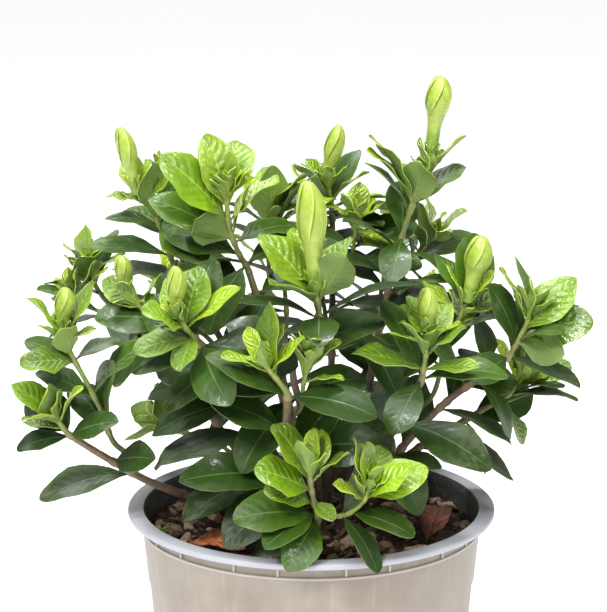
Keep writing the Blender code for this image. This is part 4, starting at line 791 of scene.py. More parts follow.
class Paint:
    """One Principled material, put together node by node."""

    NOISE_RANGE = (0.3, 0.7)

    def __init__(self, name: str, **fixed: float | tuple[float, ...]) -> None:
        """Starts the material.

        Args:
            name: the material's name.
            fixed: values set on the shader's own sockets, with _ for a space in a socket's name.
        """
        self.material = bpy.data.materials.new(name)
        self.material.use_nodes = True
        self.tree = self.material.node_tree
        self.shader = self.tree.nodes["Principled BSDF"]
        for socket, value in fixed.items():
            self.shader.inputs[socket.replace("_", " ")].default_value = value

    def feed(self, socket: Socket, value: Feed) -> None:
        """Links or sets one input; a colour of three numbers gets full opacity.

        Args:
            socket: the input.
            value: a socket to link, or a value to set.
        """
        if isinstance(value, bpy.types.NodeSocket):
            self.tree.links.new(value, socket)
        elif isinstance(value, tuple) and socket.type == "RGBA":
            socket.default_value = (*value[:3], 1.0)
        else:
            socket.default_value = value

    def node(self, kind: str, feeds: dict[str | int, Feed], **choices: str | bool) -> bpy.types.Node:
        """Adds a node.

        Args:
            kind: the node's type, without its prefix.
            feeds: what goes into each input, by name or index.
            choices: the node's own settings.

        Returns:
            The node.
        """
        made = self.tree.nodes.new(f"ShaderNode{kind}")
        for key, value in choices.items():
            setattr(made, key, value)
        for key, value in feeds.items():
            self.feed(made.inputs[key], value)
        return made

    def maths(self, operation: str, first: Feed, second: Feed = 0.0, third: Feed = 0.0) -> Socket:
        """One Math node."""
        return self.node("Math", {0: first, 1: second, 2: third}, operation=operation).outputs[0]

    def times(self, first: Feed, second: Feed) -> Socket:
        """The product of two values."""
        return self.maths("MULTIPLY", first, second)

    def plus(self, first: Feed, second: Feed) -> Socket:
        """The sum of two values."""
        return self.maths("ADD", first, second)

    def step(self, value: Feed, low: float, high: float, top: float = 1.0) -> Socket:
        """A smooth step from 0 to top, as value goes from low to high; high may be the lower."""
        feeds: dict[str | int, Feed] = {"Value": value, "From Min": low, "From Max": high, "To Max": top}
        return self.node("MapRange", feeds, interpolation_type="SMOOTHSTEP").outputs[0]

    def scale(self, value: Feed, low: float, high: float, first: float, last: float) -> Socket:
        """A value between low and high brought to between first and last."""
        feeds: dict[str | int, Feed] = {"Value": value, "From Min": low, "From Max": high}
        return self.node("MapRange", feeds | {"To Min": first, "To Max": last}).outputs[0]

    def span(self, share: Feed, first: float, last: float) -> Socket:
        """A share brought to between first and last."""
        return self.scale(share, 0.0, 1.0, first, last)

    def vary(self, cloud: Feed, first: float, last: float) -> Socket:
        """Noise brought to between first and last, over the range that it mostly takes."""
        return self.scale(cloud, *self.NOISE_RANGE, first, last)

    def mix(self, share: Feed, first: Feed, second: Feed, how: str = "MIX") -> Socket:
        """Two colours mixed, multiplied or overlaid by a share."""
        feeds: dict[str | int, Feed] = {0: share, 6: first, 7: second}
        return self.node("Mix", feeds, data_type="RGBA", blend_type=how).outputs[2]

    def shaded(self, colour: Feed, shade: Socket) -> Socket:
        """A colour made lighter or darker by a factor."""
        return self.mix(1.0, colour, self.join(shade, shade, shade), "MULTIPLY")

    def ramp(self, share: Feed, stops: tuple[tuple[float, Colour], ...]) -> Socket:
        """A colour by a share, from stops of place and colour.

        Args:
            share: what chooses the colour.
            stops: places from 0 to 1, each with its colour.

        Returns:
            The colour.
        """
        made = self.node("ValToRGB", {0: share})
        band = made.color_ramp.elements
        while len(band) < len(stops):
            band.new(0.5)
        for element, (place, colour) in zip(band, stops):
            element.position = place
            element.color = (*colour, 1.0)
        return made.outputs[0]

    def place(self) -> Socket:
        """Object coordinates, in metres."""
        return self.node("TexCoord", {}).outputs["Object"]

    def split(self, vector: Feed) -> bpy.types.NodeOutputs:
        """X, Y and Z of a vector."""
        return self.node("SeparateXYZ", {0: vector}).outputs

    def join(self, x: Feed, y: Feed, z: Feed) -> Socket:
        """A vector of three values."""
        return self.node("CombineXYZ", {0: x, 1: y, 2: z}).outputs[0]

    def noise(self, vector: Feed, scale: float, detail: float = 3.0, rough: float = 0.55) -> Socket:
        """Noise between 0 and 1."""
        feeds: dict[str | int, Feed] = {"Vector": vector, "Scale": scale, "Detail": detail}
        return self.node("TexNoise", feeds | {"Roughness": rough}).outputs[0]

    def cells(self, vector: Feed, scale: float, feature: str = "F1") -> bpy.types.NodeOutputs:
        """Distance and colour of Voronoi cells."""
        return self.node("TexVoronoi", {"Vector": vector, "Scale": scale}, feature=feature).outputs

    def marks(self, attribute: str) -> tuple[Socket, Socket, Socket, Socket]:
        """The four values of a colour attribute.

        Args:
            attribute: the attribute's name.

        Returns:
            Red, green, blue and alpha, read as plain numbers.
        """
        read = self.node("Attribute", {}, attribute_name=attribute)
        parts = self.node("SeparateColor", {0: read.outputs["Color"]}).outputs
        return parts[0], parts[1], parts[2], read.outputs["Alpha"]

    def relief(self, height: Feed, depth: float, under: Feed | None = None) -> Socket:
        """Bumps of a height between 0 and 1.

        Args:
            height: the height.
            depth: what a height of 1 stands for, in metres.
            under: bumps that these lie on.

        Returns:
            The normal.
        """
        feeds: dict[str | int, Feed] = {"Height": height, "Distance": depth, "Strength": 1.0}
        if under is not None:
            feeds["Normal"] = under
        return self.node("Bump", feeds).outputs[0]

    def finish(self, colour: Feed, roughness: Feed, normal: Feed | None = None) -> bpy.types.Material:
        """Connects the shader and hands over the material.

        Args:
            colour: the base colour.
            roughness: the roughness.
            normal: the bumps, or None for a smooth finish.

        Returns:
            The material.
        """
        self.feed(self.shader.inputs["Base Color"], colour)
        self.feed(self.shader.inputs["Roughness"], roughness)
        if normal is not None:
            self.feed(self.shader.inputs["Normal"], normal)
        return self.material


class Modeller:
    """Short cuts for modelling by operators, as by hand."""

    MERGE_REACH = 0.00001

    @staticmethod
    def clear() -> None:
        """Goes back to object mode and deselects everything."""
        active = bpy.context.view_layer.objects.active
        if active is not None and active.mode != "OBJECT":
            bpy.ops.object.mode_set(mode="OBJECT")
        bpy.ops.object.select_all(action="DESELECT")

    @staticmethod
    def take(made: bpy.types.Object) -> None:
        """Makes one object the only one selected, and the active one.

        Args:
            made: the object.
        """
        Modeller.clear()
        made.select_set(True)
        bpy.context.view_layer.objects.active = made

    @staticmethod
    def choose(made: bpy.types.Object, wanted: Callable[[Vector], bool]) -> None:
        """Selects the corners that pass a test of their place, and opens edit mode.

        Args:
            made: the active object.
            wanted: a function of a corner's place, true for those to select.
        """
        bpy.ops.object.mode_set(mode="EDIT")
        bpy.ops.mesh.select_mode(type="VERT")
        bpy.ops.mesh.select_all(action="DESELECT")
        bpy.ops.object.mode_set(mode="OBJECT")
        for corner in made.data.vertices:
            corner.select = wanted(corner.co)
        bpy.ops.object.mode_set(mode="EDIT")

    @staticmethod
    def apply(made: bpy.types.Object, kind: str, **settings: float | int | bool | str) -> None:
        """Adds a modifier to the object and applies it.

        Args:
            made: the object.
            kind: the modifier's type.
            settings: values set on the modifier.
        """
        Modeller.take(made)
        modifier = made.modifiers.new(kind.lower(), kind)
        for key, value in settings.items():
            setattr(modifier, key, value)
        bpy.ops.object.modifier_apply(modifier=modifier.name)

    @staticmethod
    def settle(made: bpy.types.Object) -> None:
        """Applies place, turn and scale, so that the object sits at the origin."""
        Modeller.take(made)
        bpy.ops.object.transform_apply(location=True, rotation=True, scale=True)

    @staticmethod
    def smooth(made: bpy.types.Object, degrees: float) -> None:
        """Shades smooth, with edges sharper than an angle left sharp."""
        Modeller.take(made)
        bpy.ops.object.shade_smooth_by_angle(angle=math.radians(degrees))

    @staticmethod
    def edit(made: bpy.types.Object) -> None:
        """Opens edit mode with everything selected.

        Args:
            made: the object.
        """
        Modeller.take(made)
        bpy.ops.object.mode_set(mode="EDIT")
        bpy.ops.mesh.select_all(action="SELECT")

    @staticmethod
    def outward(made: bpy.types.Object) -> None:
        """Merges doubles and turns every face outwards.

        Args:
            made: the object.
        """
        Modeller.edit(made)
        bpy.ops.mesh.remove_doubles(threshold=Modeller.MERGE_REACH)
        bpy.ops.mesh.normals_make_consistent(inside=False)
        bpy.ops.object.mode_set(mode="OBJECT")

    @staticmethod
    def turned(name: str, steps: int, profile: Sequence[tuple[float, float]]) -> bpy.types.Object:
        """A round body, raised from a disc by extruding and resizing it level by level.

        Args:
            name: the object's name.
            steps: how many corners go round it.
            profile: radius and height of each level, in millimetres, the base first.

        Returns:
            The object.
        """
        radius, height = profile[0]
        Modeller.clear()
        bpy.ops.mesh.primitive_circle_add(
            vertices=steps, radius=radius * MM, fill_type="NGON", location=(0.0, 0.0, height * MM)
        )
        made = bpy.context.object
        made.name = name
        Modeller.settle(made)
        bpy.ops.object.mode_set(mode="EDIT")
        bpy.ops.mesh.select_mode(type="FACE")
        bpy.ops.mesh.select_all(action="SELECT")
        for next_radius, next_height in profile[1:]:
            rise = (next_height - height) * MM
            bpy.ops.mesh.extrude_region_move(TRANSFORM_OT_translate={"value": (0.0, 0.0, rise)})
            grow = next_radius / radius
            centre = (0.0, 0.0, next_height * MM)
            bpy.ops.transform.resize(value=(grow, grow, 1.0), center_override=centre)
            radius, height = next_radius, next_height
        bpy.ops.object.mode_set(mode="OBJECT")
        Modeller.outward(made)
        return made

    @staticmethod
    def placed(name: str, data: bpy.types.ID) -> bpy.types.Object:
        """A new object of the scene, at the origin.

        Args:
            name: the object's name.
            data: its mesh or curve.

        Returns:
            The object.
        """
        made = bpy.data.objects.new(name, data)
        bpy.context.scene.collection.objects.link(made)
        return made

    @staticmethod
    def shape(name: str, points: np.ndarray, faces: list[tuple[int, ...]]) -> bpy.types.Object:
        """A mesh object made of copies whose points have been moved into place.

        Args:
            name: the object's name.
            points: one row of x, y and z for each corner.
            faces: the corners of each face, by number.

        Returns:
            The object.
        """
        mesh = bpy.data.meshes.new(name)
        mesh.from_pydata(points.tolist(), [], faces)
        return Modeller.placed(name, mesh)

    @staticmethod
    def mark(made: bpy.types.Object, attribute: str, values: list[float]) -> None:
        """Writes four values for each point of a piece."""
        colours = made.data.color_attributes.new(attribute, "FLOAT_COLOR", "POINT")
        colours.data.foreach_set("color", values)


@dataclass
class Cast:
    """A shape modelled once, from which copies are taken: its points, faces and map."""

    points: np.ndarray
    faces: list[tuple[int, ...]]
    uv: np.ndarray | None = None

    @staticmethod
    def of(made: bpy.types.Object) -> "Cast":
        """Takes the shape of an object and removes the object.

        Args:
            made: the object, which is gone afterwards.

        Returns:
            The shape, to be copied many times.
        """
        mesh = made.data
        points = np.array([tuple(corner.co) for corner in mesh.vertices])
        faces = [tuple(face.vertices) for face in mesh.polygons]
        uv = None
        if mesh.uv_layers.active is not None:
            uv = np.array([tuple(corner.uv) for corner in mesh.uv_layers.active.data])
        bpy.data.objects.remove(made)
        bpy.data.meshes.remove(mesh)
        return Cast(points, faces, uv)


@dataclass
class Cluster:
    """Many copies gathered into one piece."""

    name: str

    def __post_init__(self) -> None:
        """Starts empty."""
        self.points: list[np.ndarray] = []
        self.faces: list[tuple[int, ...]] = []
        self.uv: list[np.ndarray] = []
        self.marks: list[np.ndarray] = []
        self.count = 0

    def add(self, cast: Cast, points: np.ndarray, marks: np.ndarray) -> None:
        """Adds one copy.

        Args:
            cast: the shape that it is a copy of.
            points: its own points.
            marks: four values for every corner of every face.
        """
        self.faces += [tuple(index + self.count for index in face) for face in cast.faces]
        self.count += len(points)
        self.points.append(points)
        self.marks.append(marks)
        if cast.uv is not None:
            self.uv.append(cast.uv)

    def build(self, attribute: str) -> bpy.types.Object:
        """Makes the piece.

        Args:
            attribute: the name that its marks go by.

        Returns:
            The object, with its map and marks.
        """
        made = Modeller.shape(self.name, np.concatenate(self.points), self.faces)
        mesh = made.data
        if self.uv:
            layer = mesh.uv_layers.new(name="map")
            layer.data.foreach_set("uv", np.concatenate(self.uv).ravel())
        colours = mesh.color_attributes.new(attribute, "FLOAT_COLOR", "CORNER")
        colours.data.foreach_set("color", np.concatenate(self.marks).ravel())
        return made

    def blades(self) -> bpy.types.Object:
        """Makes a piece that is all leaves.

        Returns:
            The object, its creases left sharp.
        """
        made = self.build("leaf")
        Modeller.smooth(made, LEAF_CREASE)
        return made


def hand_over(made: bpy.types.Object, finish: bpy.types.Material, slot: Slot, *nodes: str) -> None:
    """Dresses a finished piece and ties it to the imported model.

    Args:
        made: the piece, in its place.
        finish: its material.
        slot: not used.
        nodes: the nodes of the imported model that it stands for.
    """
    made.data.materials.clear()
    made.data.materials.append(finish)
    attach(made, BODY)
    if nodes:
        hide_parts(*nodes)
    triangles = sum(len(face.vertices) - 2 for face in made.data.polygons)
    size = [round(side / MM, 1) for side in made.dimensions]
    log.info("%s: %d triangles, %s mm", made.name, triangles, size)


@dataclass(frozen=True)
class LeafFinish:
    """The blade of a leaf, from old and dark to young and bright, with its underside."""

    old: Colour = (0.014, 0.037, 0.005)
    grown: Colour = (0.050, 0.116, 0.006)
    young: Colour = (0.132, 0.245, 0.003)
    newest: Colour = (0.290, 0.420, 0.008)
    vein_old: Colour = (0.062, 0.112, 0.040)
    vein_young: Colour = (0.330, 0.480, 0.070)
    margin_old: Colour = (0.125, 0.190, 0.070)
    margin_young: Colour = (0.310, 0.435, 0.022)
    under_old: Colour = (0.085, 0.140, 0.058)
    under_young: Colour = (0.240, 0.340, 0.085)
    dust: Colour = (0.360, 0.350, 0.270)
    vein_pairs: float = 8.5
    sweep: float = 0.24

    def material(self) -> bpy.types.Material:
        """The material; it reads the leaf's map and its marks: age, tone, underside, dust.

        Returns:
            The material, ready to wear.
        """
        paint = Paint("leaf_blade", Coat_Roughness=0.05, Coat_IOR=1.55, Specular_IOR_Level=0.28)
        age, tone, under, dust = paint.marks("leaf")
        uv = paint.node("UVMap", {}, uv_map="map").outputs[0]
        share, across, _ = paint.split(uv)
        half = paint.maths("ABSOLUTE", paint.maths("MULTIPLY_ADD", across, 2.0, -1.0))
        place = paint.place()

        # Side veins leave the midrib and sweep forward to the margin
        lag = paint.times(paint.maths("POWER", half, 1.2), self.sweep)
        run = paint.times(paint.maths("SUBTRACT", share, lag), self.vein_pairs)
        run = paint.plus(run, paint.times(tone, 3.0))
        beat = paint.maths("ABSOLUTE", paint.maths("SUBTRACT", paint.maths("FRACT", run), 0.5))
        inner = paint.step(half, 0.95, 0.55)
        side_vein = paint.times(paint.step(beat, 0.07, 0.01), inner)
        rib_width = paint.span(share, 0.09, 0.03)
        midrib = paint.step(paint.maths("DIVIDE", half, rib_width), 1.0, 0.45)

        blade = paint.ramp(age, ((0.0, self.old), (0.42, self.grown), (0.75, self.young), (1.0, self.newest)))
        mottle = paint.noise(place, 210.0, 4.0)
        patch = paint.noise(place, 45.0, 2.0)
        shade = paint.vary(mottle, 0.82, 1.14)
        shade = paint.times(shade, paint.vary(patch, 0.85, 1.15))
        shade = paint.times(shade, paint.span(tone, 0.80, 1.22))
        blade = paint.shaded(blade, shade)
        # The blade is darker between veins. Towards the margin of a young leaf it gets a painted glow: light
        # through the thin margin, painted as a yellower colour
        painted_edge_glow = paint.times(paint.step(half, 0.5, 1.0, 0.25), age)
        vein_colour = paint.mix(age, self.vein_old, self.vein_young)
        blade = paint.mix(painted_edge_glow, blade, self.margin_young)
        faint = paint.times(side_vein, paint.span(age, 0.07, 0.10))
        blade = paint.mix(faint, blade, vein_colour)
        blade = paint.mix(paint.times(midrib, 0.8), blade, vein_colour)
        margin = paint.times(paint.step(half, 0.945, 0.985), paint.span(age, 0.20, 0.34))
        blade = paint.mix(margin, blade, paint.mix(age, self.margin_old, self.margin_young))
        dusty = paint.step(paint.noise(place, 110.0, 5.0, 0.65), 0.46, 0.62)
        reach = paint.plus(paint.step(share, 0.45, 0.95, 0.8), 0.12)
        dusty = paint.times(paint.times(dusty, reach), dust)
        blade = paint.mix(paint.times(dusty, 0.26), blade, self.dust)

        below = paint.mix(age, self.under_old, self.under_young)
        below = paint.mix(paint.times(midrib, 0.7), below, vein_colour)
        below = paint.mix(paint.times(side_vein, 0.12), below, vein_colour)
        colour = paint.mix(under, blade, below)

        # Puckers between the veins, and a fine crinkle that breaks up the shine
        limp = paint.scale(age, 0.15, 0.8, 0.12, 1.0)
        limp = paint.times(limp, paint.span(under, 1.0, 0.3))
        pucker = paint.times(paint.step(beat, 0.0, 0.5), inner)
        sunk = paint.maths("MAXIMUM", midrib, paint.times(side_vein, limp))
        groove = paint.maths("SUBTRACT", 1.0, sunk)
        wide = paint.relief(paint.times(pucker, limp), 0.00030)
        veins = paint.relief(groove, 0.00010, wide)
        crinkle = paint.noise(paint.node("Mapping", {0: uv, 3: (15.0, 8.0, 1.0)}).outputs[0], 1.0, 3.0, 0.55)
        crinkled = paint.relief(paint.times(crinkle, limp), 0.0013, veins)
        creased = paint.relief(paint.times(crinkle, limp), 0.0006, veins)
        grain = paint.relief(paint.noise(place, 2600.0, 2.0), 0.00002, creased)
        gloss = paint.span(age, 0.40, 0.25)
        gloss = paint.plus(gloss, paint.times(dusty, 0.3))
        gloss = paint.plus(gloss, paint.times(under, 0.30))
        paint.feed(paint.shader.inputs["Coat Normal"], crinkled)
        wax = paint.times(paint.scale(age, 0.25, 0.62, 0.14, 0.85), paint.step(under, 1.0, 0.0))
        paint.feed(paint.shader.inputs["Coat Weight"], wax)
        return paint.finish(colour, gloss, grain)


class LeafBlank:
    """The flat leaf, one unit long and one unit from midrib to margin, of which all are copies."""

    SHARES = (0.0, 0.10, 0.20, 0.33, 0.47, 0.61, 0.74, 0.85, 0.93, 0.98, 1.0)
    COLUMNS = 4
    THICKNESS = 0.02
    STALK_END = 0.06
    WIDEST = 0.55
    SPOON = 0.04
    ASIDE = 5.0

    # Shares of the half width, then degrees, a share of the length, and metres
    LOPSIDED = 0.07
    WOBBLE = 0.045
    RISE = 1.7
    ROLL = 0.9
    TWIST = 14.0
    BOW = 0.05
    STALK_RADIUS = 0.0009
    KEEL = 0.0005

    def __init__(self) -> None:
        """Models the blank from a grid, by moving and narrowing its rows."""
        rows = len(self.SHARES) - 1
        Modeller.clear()
        bpy.ops.mesh.primitive_grid_add(x_subdivisions=rows, y_subdivisions=self.COLUMNS, size=2.0)
        made = bpy.context.object
        made.name = "leaf_blank"
        for row, share in enumerate(self.SHARES):
            old = -1.0 + 2.0 * row / rows
            self.move_row(made, old, share, self.width(share))
        Modeller.edit(made)
        bpy.ops.transform.translate(value=(-self.ASIDE, 0.0, 0.0))
        bpy.ops.mesh.remove_doubles(threshold=0.0001)
        bpy.ops.object.mode_set(mode="OBJECT")
        Modeller.apply(made, "SOLIDIFY", thickness=self.THICKNESS, offset=0.0)
        self.map(made.data)
        self.cast = Cast.of(made)
        x, y, z = self.cast.points.T
        self.share = np.clip(x, 0.0, 1.0)
        widths = np.array([max(self.width(share), 1e-4) for share in self.share])
        self.reach = y
        self.side = np.sign(z)
        self.part = np.clip(y / widths, -1.0, 1.0)
        corner = [index for face in self.cast.faces for index in face]
        lower = []
        for face in self.cast.faces:
            below = all(z[index] < 0 for index in face)
            lower += [1.0 if below else 0.0] * len(face)
        self.corners = np.array(corner)
        self.lower = np.array(lower)

    def width(self, share: float) -> float:
        """Half width of the blade at a share of its length: a wedge at the foot, round at the tip.

        Args:
            share: 0 at the foot, 1 at the tip.

        Returns:
            Half of the width, as a share of the widest place.
        """
        if share <= self.STALK_END or share >= 1.0:
            return 0.0
        if share < self.WIDEST:
            wedge = (share - self.STALK_END) / (self.WIDEST - self.STALK_END)
            return math.sin(math.pi / 2 * wedge) ** 0.95
        rest = (share - self.WIDEST) / (1.0 - self.WIDEST)
        return (1.0 - rest**1.9) ** 0.70

    def move_row(self, made: bpy.types.Object, old: float, share: float, width: float) -> None:
        """Moves one row of corners to its share of the length, and to its width.

        Rows that are done wait further on, clear of those still to come.

        Args:
            made: the blank.
            old: where the row is now.
            share: where it goes along the length.
            width: half of the width that it gets.
        """
        Modeller.take(made)
        Modeller.choose(made, lambda place: abs(place.x - old) < 0.01)
        bpy.ops.transform.resize(value=(1.0, max(width, 1e-5), 1.0), center_override=(old, 0.0, 0.0))
        bpy.ops.transform.translate(value=(self.ASIDE + share - old, 0.0, 0.0))
        bpy.ops.object.mode_set(mode="OBJECT")

    def map(self, mesh: bpy.types.Mesh) -> None:
        """Lays the map: along the leaf in U, across it in V with the midrib at a half.

        Args:
            mesh: the blank's mesh.
        """
        while mesh.uv_layers:
            mesh.uv_layers.remove(mesh.uv_layers[0])
        layer = mesh.uv_layers.new(name="map")
        for loop, corner in zip(mesh.loops, layer.data):
            place = mesh.vertices[loop.vertex_index].co
            width = self.width(place.x)
            part = place.y / width if width > 1e-3 else 0.0
            corner.uv = (min(1.0, max(0.0, place.x)), 0.5 + 0.5 * min(1.0, max(-1.0, part)))

    def grown(self, leaf: Leaf, chance: random.Random, thickness: float, wave: float) -> np.ndarray:
        """The points of one leaf.

        Args:
            leaf: its place and size.
            chance: its own source of variation.
            thickness: of the blade, in metres.
            wave: height of its margin's waves, in metres.

        Returns:
            A row of coordinates for each point of the blank.
        """
        share, part, reach = self.share, self.part, self.reach
        start = leaf.arch / 2
        bend = start - leaf.arch * share
        forward = (np.sin(start) - np.sin(bend)) / leaf.arch * leaf.length
        rise = (np.cos(bend) - np.cos(start)) / leaf.arch * leaf.length
        half = np.abs(reach) * leaf.width / 2 * (1.0 + self.SPOON * (share - self.WIDEST))
        # The two halves differ a little, and neither margin is a clean curve
        lopsided = chance.uniform(-self.LOPSIDED, self.LOPSIDED)
        nicks = chance.uniform(1.6, 3.2)
        for sign in (-1.0, 1.0):
            start_at = chance.uniform(0.0, 2 * math.pi)
            wobble = self.WOBBLE * np.sin(2 * math.pi * nicks * share + start_at) + sign * lopsided
            half = np.where(part * sign > 0, half * (1.0 + wobble), half)
        stalk = np.clip(1.0 - share / 0.35, 0.0, 1.0) * self.STALK_RADIUS
        half = np.where(share < 0.99, np.maximum(half, stalk * np.abs(part)), 0.0)
        # Each half rises from the midrib and rolls over towards its margin
        lift = half * math.sin(leaf.fold) * (self.RISE - self.ROLL * part**2)
        beats = chance.uniform(1.3, 2.3)
        for sign in (-1.0, 1.0):
            phase = chance.uniform(0.0, 2 * math.pi)
            crest = np.sin(2 * math.pi * beats * share + phase) * np.clip(share * 3, 0, 1)
            lift = lift + np.where(part * sign > 0, crest * part**2 * wave, 0.0)
        twist = math.radians(chance.uniform(-self.TWIST, self.TWIST)) * share
        across = half * np.sign(reach) * math.cos(leaf.fold)
        bow = chance.uniform(-self.BOW, self.BOW) * leaf.length * share**2
        thick = self.side * thickness / 2 * np.where(share < 0.2, 1.6, 1.0)
        keel = np.where((self.side < 0) & (np.abs(part) < 0.1), -self.KEEL * (1 - share), 0.0)
        lift = lift + thick + keel
        y = across * np.cos(twist) - lift * np.sin(twist) + bow
        z = across * np.sin(twist) + lift * np.cos(twist)
        along = np.array(leaf.along)
        up = np.array(leaf.up)
        left = np.cross(up, along)
        local = np.outer(np.cos(bend), up) - np.outer(np.sin(bend), along)
        centre = np.array(leaf.base) + np.outer(forward, along) + np.outer(rise, up)
        return centre + np.outer(y, left) + local * z[:, None]

    def marks(self, age: float, tone: float, dust: float) -> np.ndarray:
        """Age, tone, underside and dust for each corner of each face.

        Args:
            age: 0 for old, 1 for new.
            tone: darker or lighter than its neighbours.
            dust: how dusty its face is.

        Returns:
            One row of four values for each corner of each face.
        """
        marks = np.empty((len(self.corners), 4))
        marks[:, 0] = age
        marks[:, 1] = tone
        marks[:, 2] = self.lower
        marks[:, 3] = dust
        return marks


@dataclass
class Foliage:
    """All the leaves of one growth."""

    stalk: Stalk
    blank: LeafBlank
    finish: bpy.types.Material
    thickness: float = 0.00045
    tip_sprigs: int = 6
    bud_sprigs: int = 4
    old_age: float = 0.06
    tip_gain: float = 0.22
    top_light_heights: tuple[float, float] = (0.25, 0.34)
    freshening_and_top_light: float = 0.20

    def age(self, leaf: Leaf, chance: random.Random) -> float:
        """How young a leaf looks: 0 for the oldest on wood, 1 for the newest of a shoot's tip.

        Leaves high in the crown are made younger and brighter than those below it: partly their fresher
        growth, partly painted light on the lit top of the crown.

        Args:
            leaf: the leaf.
            chance: its own source of variation.

        Returns:
            The age mark.
        """
        age = LeafKind[leaf.kind].value.age
        if self.stalk.growth.name.startswith("stem"):
            age = self.old_age + 0.3 * max(0.0, age - 0.2)
        age += self.tip_gain * (leaf.at - 0.6) + chance.uniform(-0.07, 0.07)
        # Partly painted light: leaves are brightened towards the lit top of the crown
        low, high = self.top_light_heights
        age += self.freshening_and_top_light * min(1.0, max(0.0, (leaf.base.z - low) / (high - low)))
        return min(1.0, max(0.0, age))

    def sprigs(self) -> list[Leaf]:
        """The smallest leaves, just unfolding round the tip of a shoot or the foot of its bud.

        Returns:
            The leaves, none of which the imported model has.
        """
        growth = self.stalk.growth
        if growth.carrier is None or growth.name.startswith("stem"):
            return []
        chance = random.Random(f"{growth.name} sprigs")
        bud = next((row for row in BUDS if row[1] == growth.name), None)
        budded = bud is not None
        tube = TUBES.get(bud[0], SHORT_TUBE) * bud[4] * MM if bud else 0.0
        top = 1.0 - tube / self.stalk.length
        count = self.bud_sprigs if budded else self.tip_sprigs
        low, high = (Vector(corner) for corner in CAD_BOX)
        turn = chance.uniform(0.0, 360.0)
        made = []
        for index in range(count):
            rank = index / (count - 1)
            at = max(0.3, top - 0.14 + 0.13 * rank)
            here, head = along(self.stalk.coarse, at)
            side = head.orthogonal().normalized()
            ray = Matrix.Rotation(math.radians(turn + index * GOLDEN_TURN), 3, head) @ side
            lean = chance.uniform(26, 44) if budded else 46 - 32 * rank + chance.uniform(-6, 6)
            along_leaf = leaning(head, ray, lean)
            length = (chance.uniform(10, 15) if budded else 17 - 8 * rank + chance.uniform(-2, 2)) * MM
            leaf = Leaf(
                base=here + ray * self.stalk.radius(at) * 0.6 * MM,
                along=along_leaf.normalized(),
                up=square_to(along_leaf, head).normalized(),
                length=length,
                width=length * chance.uniform(0.46, 0.60),
                arch=math.radians(chance.uniform(-30, 25)),
                fold=math.radians(chance.uniform(10, 20)),
                at=at,
                kind="T",
            )
            tip = leaf.tip()
            if all(low[axis] < tip[axis] < high[axis] for axis in range(3)):
                made.append(leaf)
        return made

    def build(self) -> int:
        """Makes the piece.

        Returns:
            How many leaves it has.
        """
        leaves = self.stalk.leaves() + self.sprigs()
        name = self.stalk.growth.name
        cluster = Cluster(f"{name}_leaves")
        for index, leaf in enumerate(leaves):
            chance = random.Random(f"{name} {index}")
            age = self.age(leaf, chance)
            wave = (0.0005 + 0.0011 * age) * min(1.0, leaf.width / 0.018)
            points = np.clip(self.blank.grown(leaf, chance, self.thickness, wave), *CAD_BOX)
            dust = chance.uniform(0.0, 1.0) * (1.0 - age)
            cluster.add(self.blank.cast, points, self.blank.marks(age, chance.random(), dust))
        made = cluster.blades()
        slot = Slot.SHOOT if name.startswith("shoot") else Slot.WOOD
        hand_over(made, self.finish, slot, name)
        return len(leaves)


@dataclass(frozen=True)
class BarkFinish:
    """Stems: grey-brown bark low down, olive further up, yellow-green and smooth at the tips."""

    bark: Colour = (0.105, 0.066, 0.046)
    tan: Colour = (0.180, 0.118, 0.078)
    olive: Colour = (0.130, 0.135, 0.040)
    green: Colour = (0.190, 0.270, 0.035)
    straw: Colour = (0.330, 0.260, 0.115)

    def material(self) -> bpy.types.Material:
        """The material; it reads a stem's marks: youth, ring at a leaf's foot, tone.

        Returns:
            The material, ready to wear.
        """
        paint = Paint("stem_bark", Coat_Weight=0.15, Coat_Roughness=0.35)
        youth, ring, tone, _ = paint.marks("stem")
        place = paint.place()
        x, y, z = paint.split(place)
        drawn = paint.join(x, y, paint.times(z, 0.28))
        streak = paint.noise(drawn, 900.0, 4.0, 0.6)
        blotch = paint.noise(place, 130.0, 3.0)
        age = paint.plus(youth, paint.vary(blotch, -0.10, 0.10))
        colour = paint.ramp(age, ((0.0, self.bark), (0.30, self.tan), (0.58, self.olive), (0.9, self.green)))
        shade = paint.scale(streak, 0.25, 0.75, 0.66, 1.30)
        shade = paint.times(shade, paint.span(tone, 0.85, 1.15))
        colour = paint.shaded(colour, shade)
        scar = paint.step(paint.noise(place, 700.0, 2.0), 0.62, 0.70, 0.7)
        woody = paint.step(youth, 0.75, 0.35)
        colour = paint.mix(paint.times(scar, woody), colour, self.straw)
        colour = paint.mix(paint.times(ring, 0.30), colour, self.straw)
        fissure = paint.relief(paint.times(streak, woody), 0.00045)
        fine = paint.relief(streak, 0.00010, fissure)
        return paint.finish(colour, paint.span(youth, 0.74, 0.42), fine)


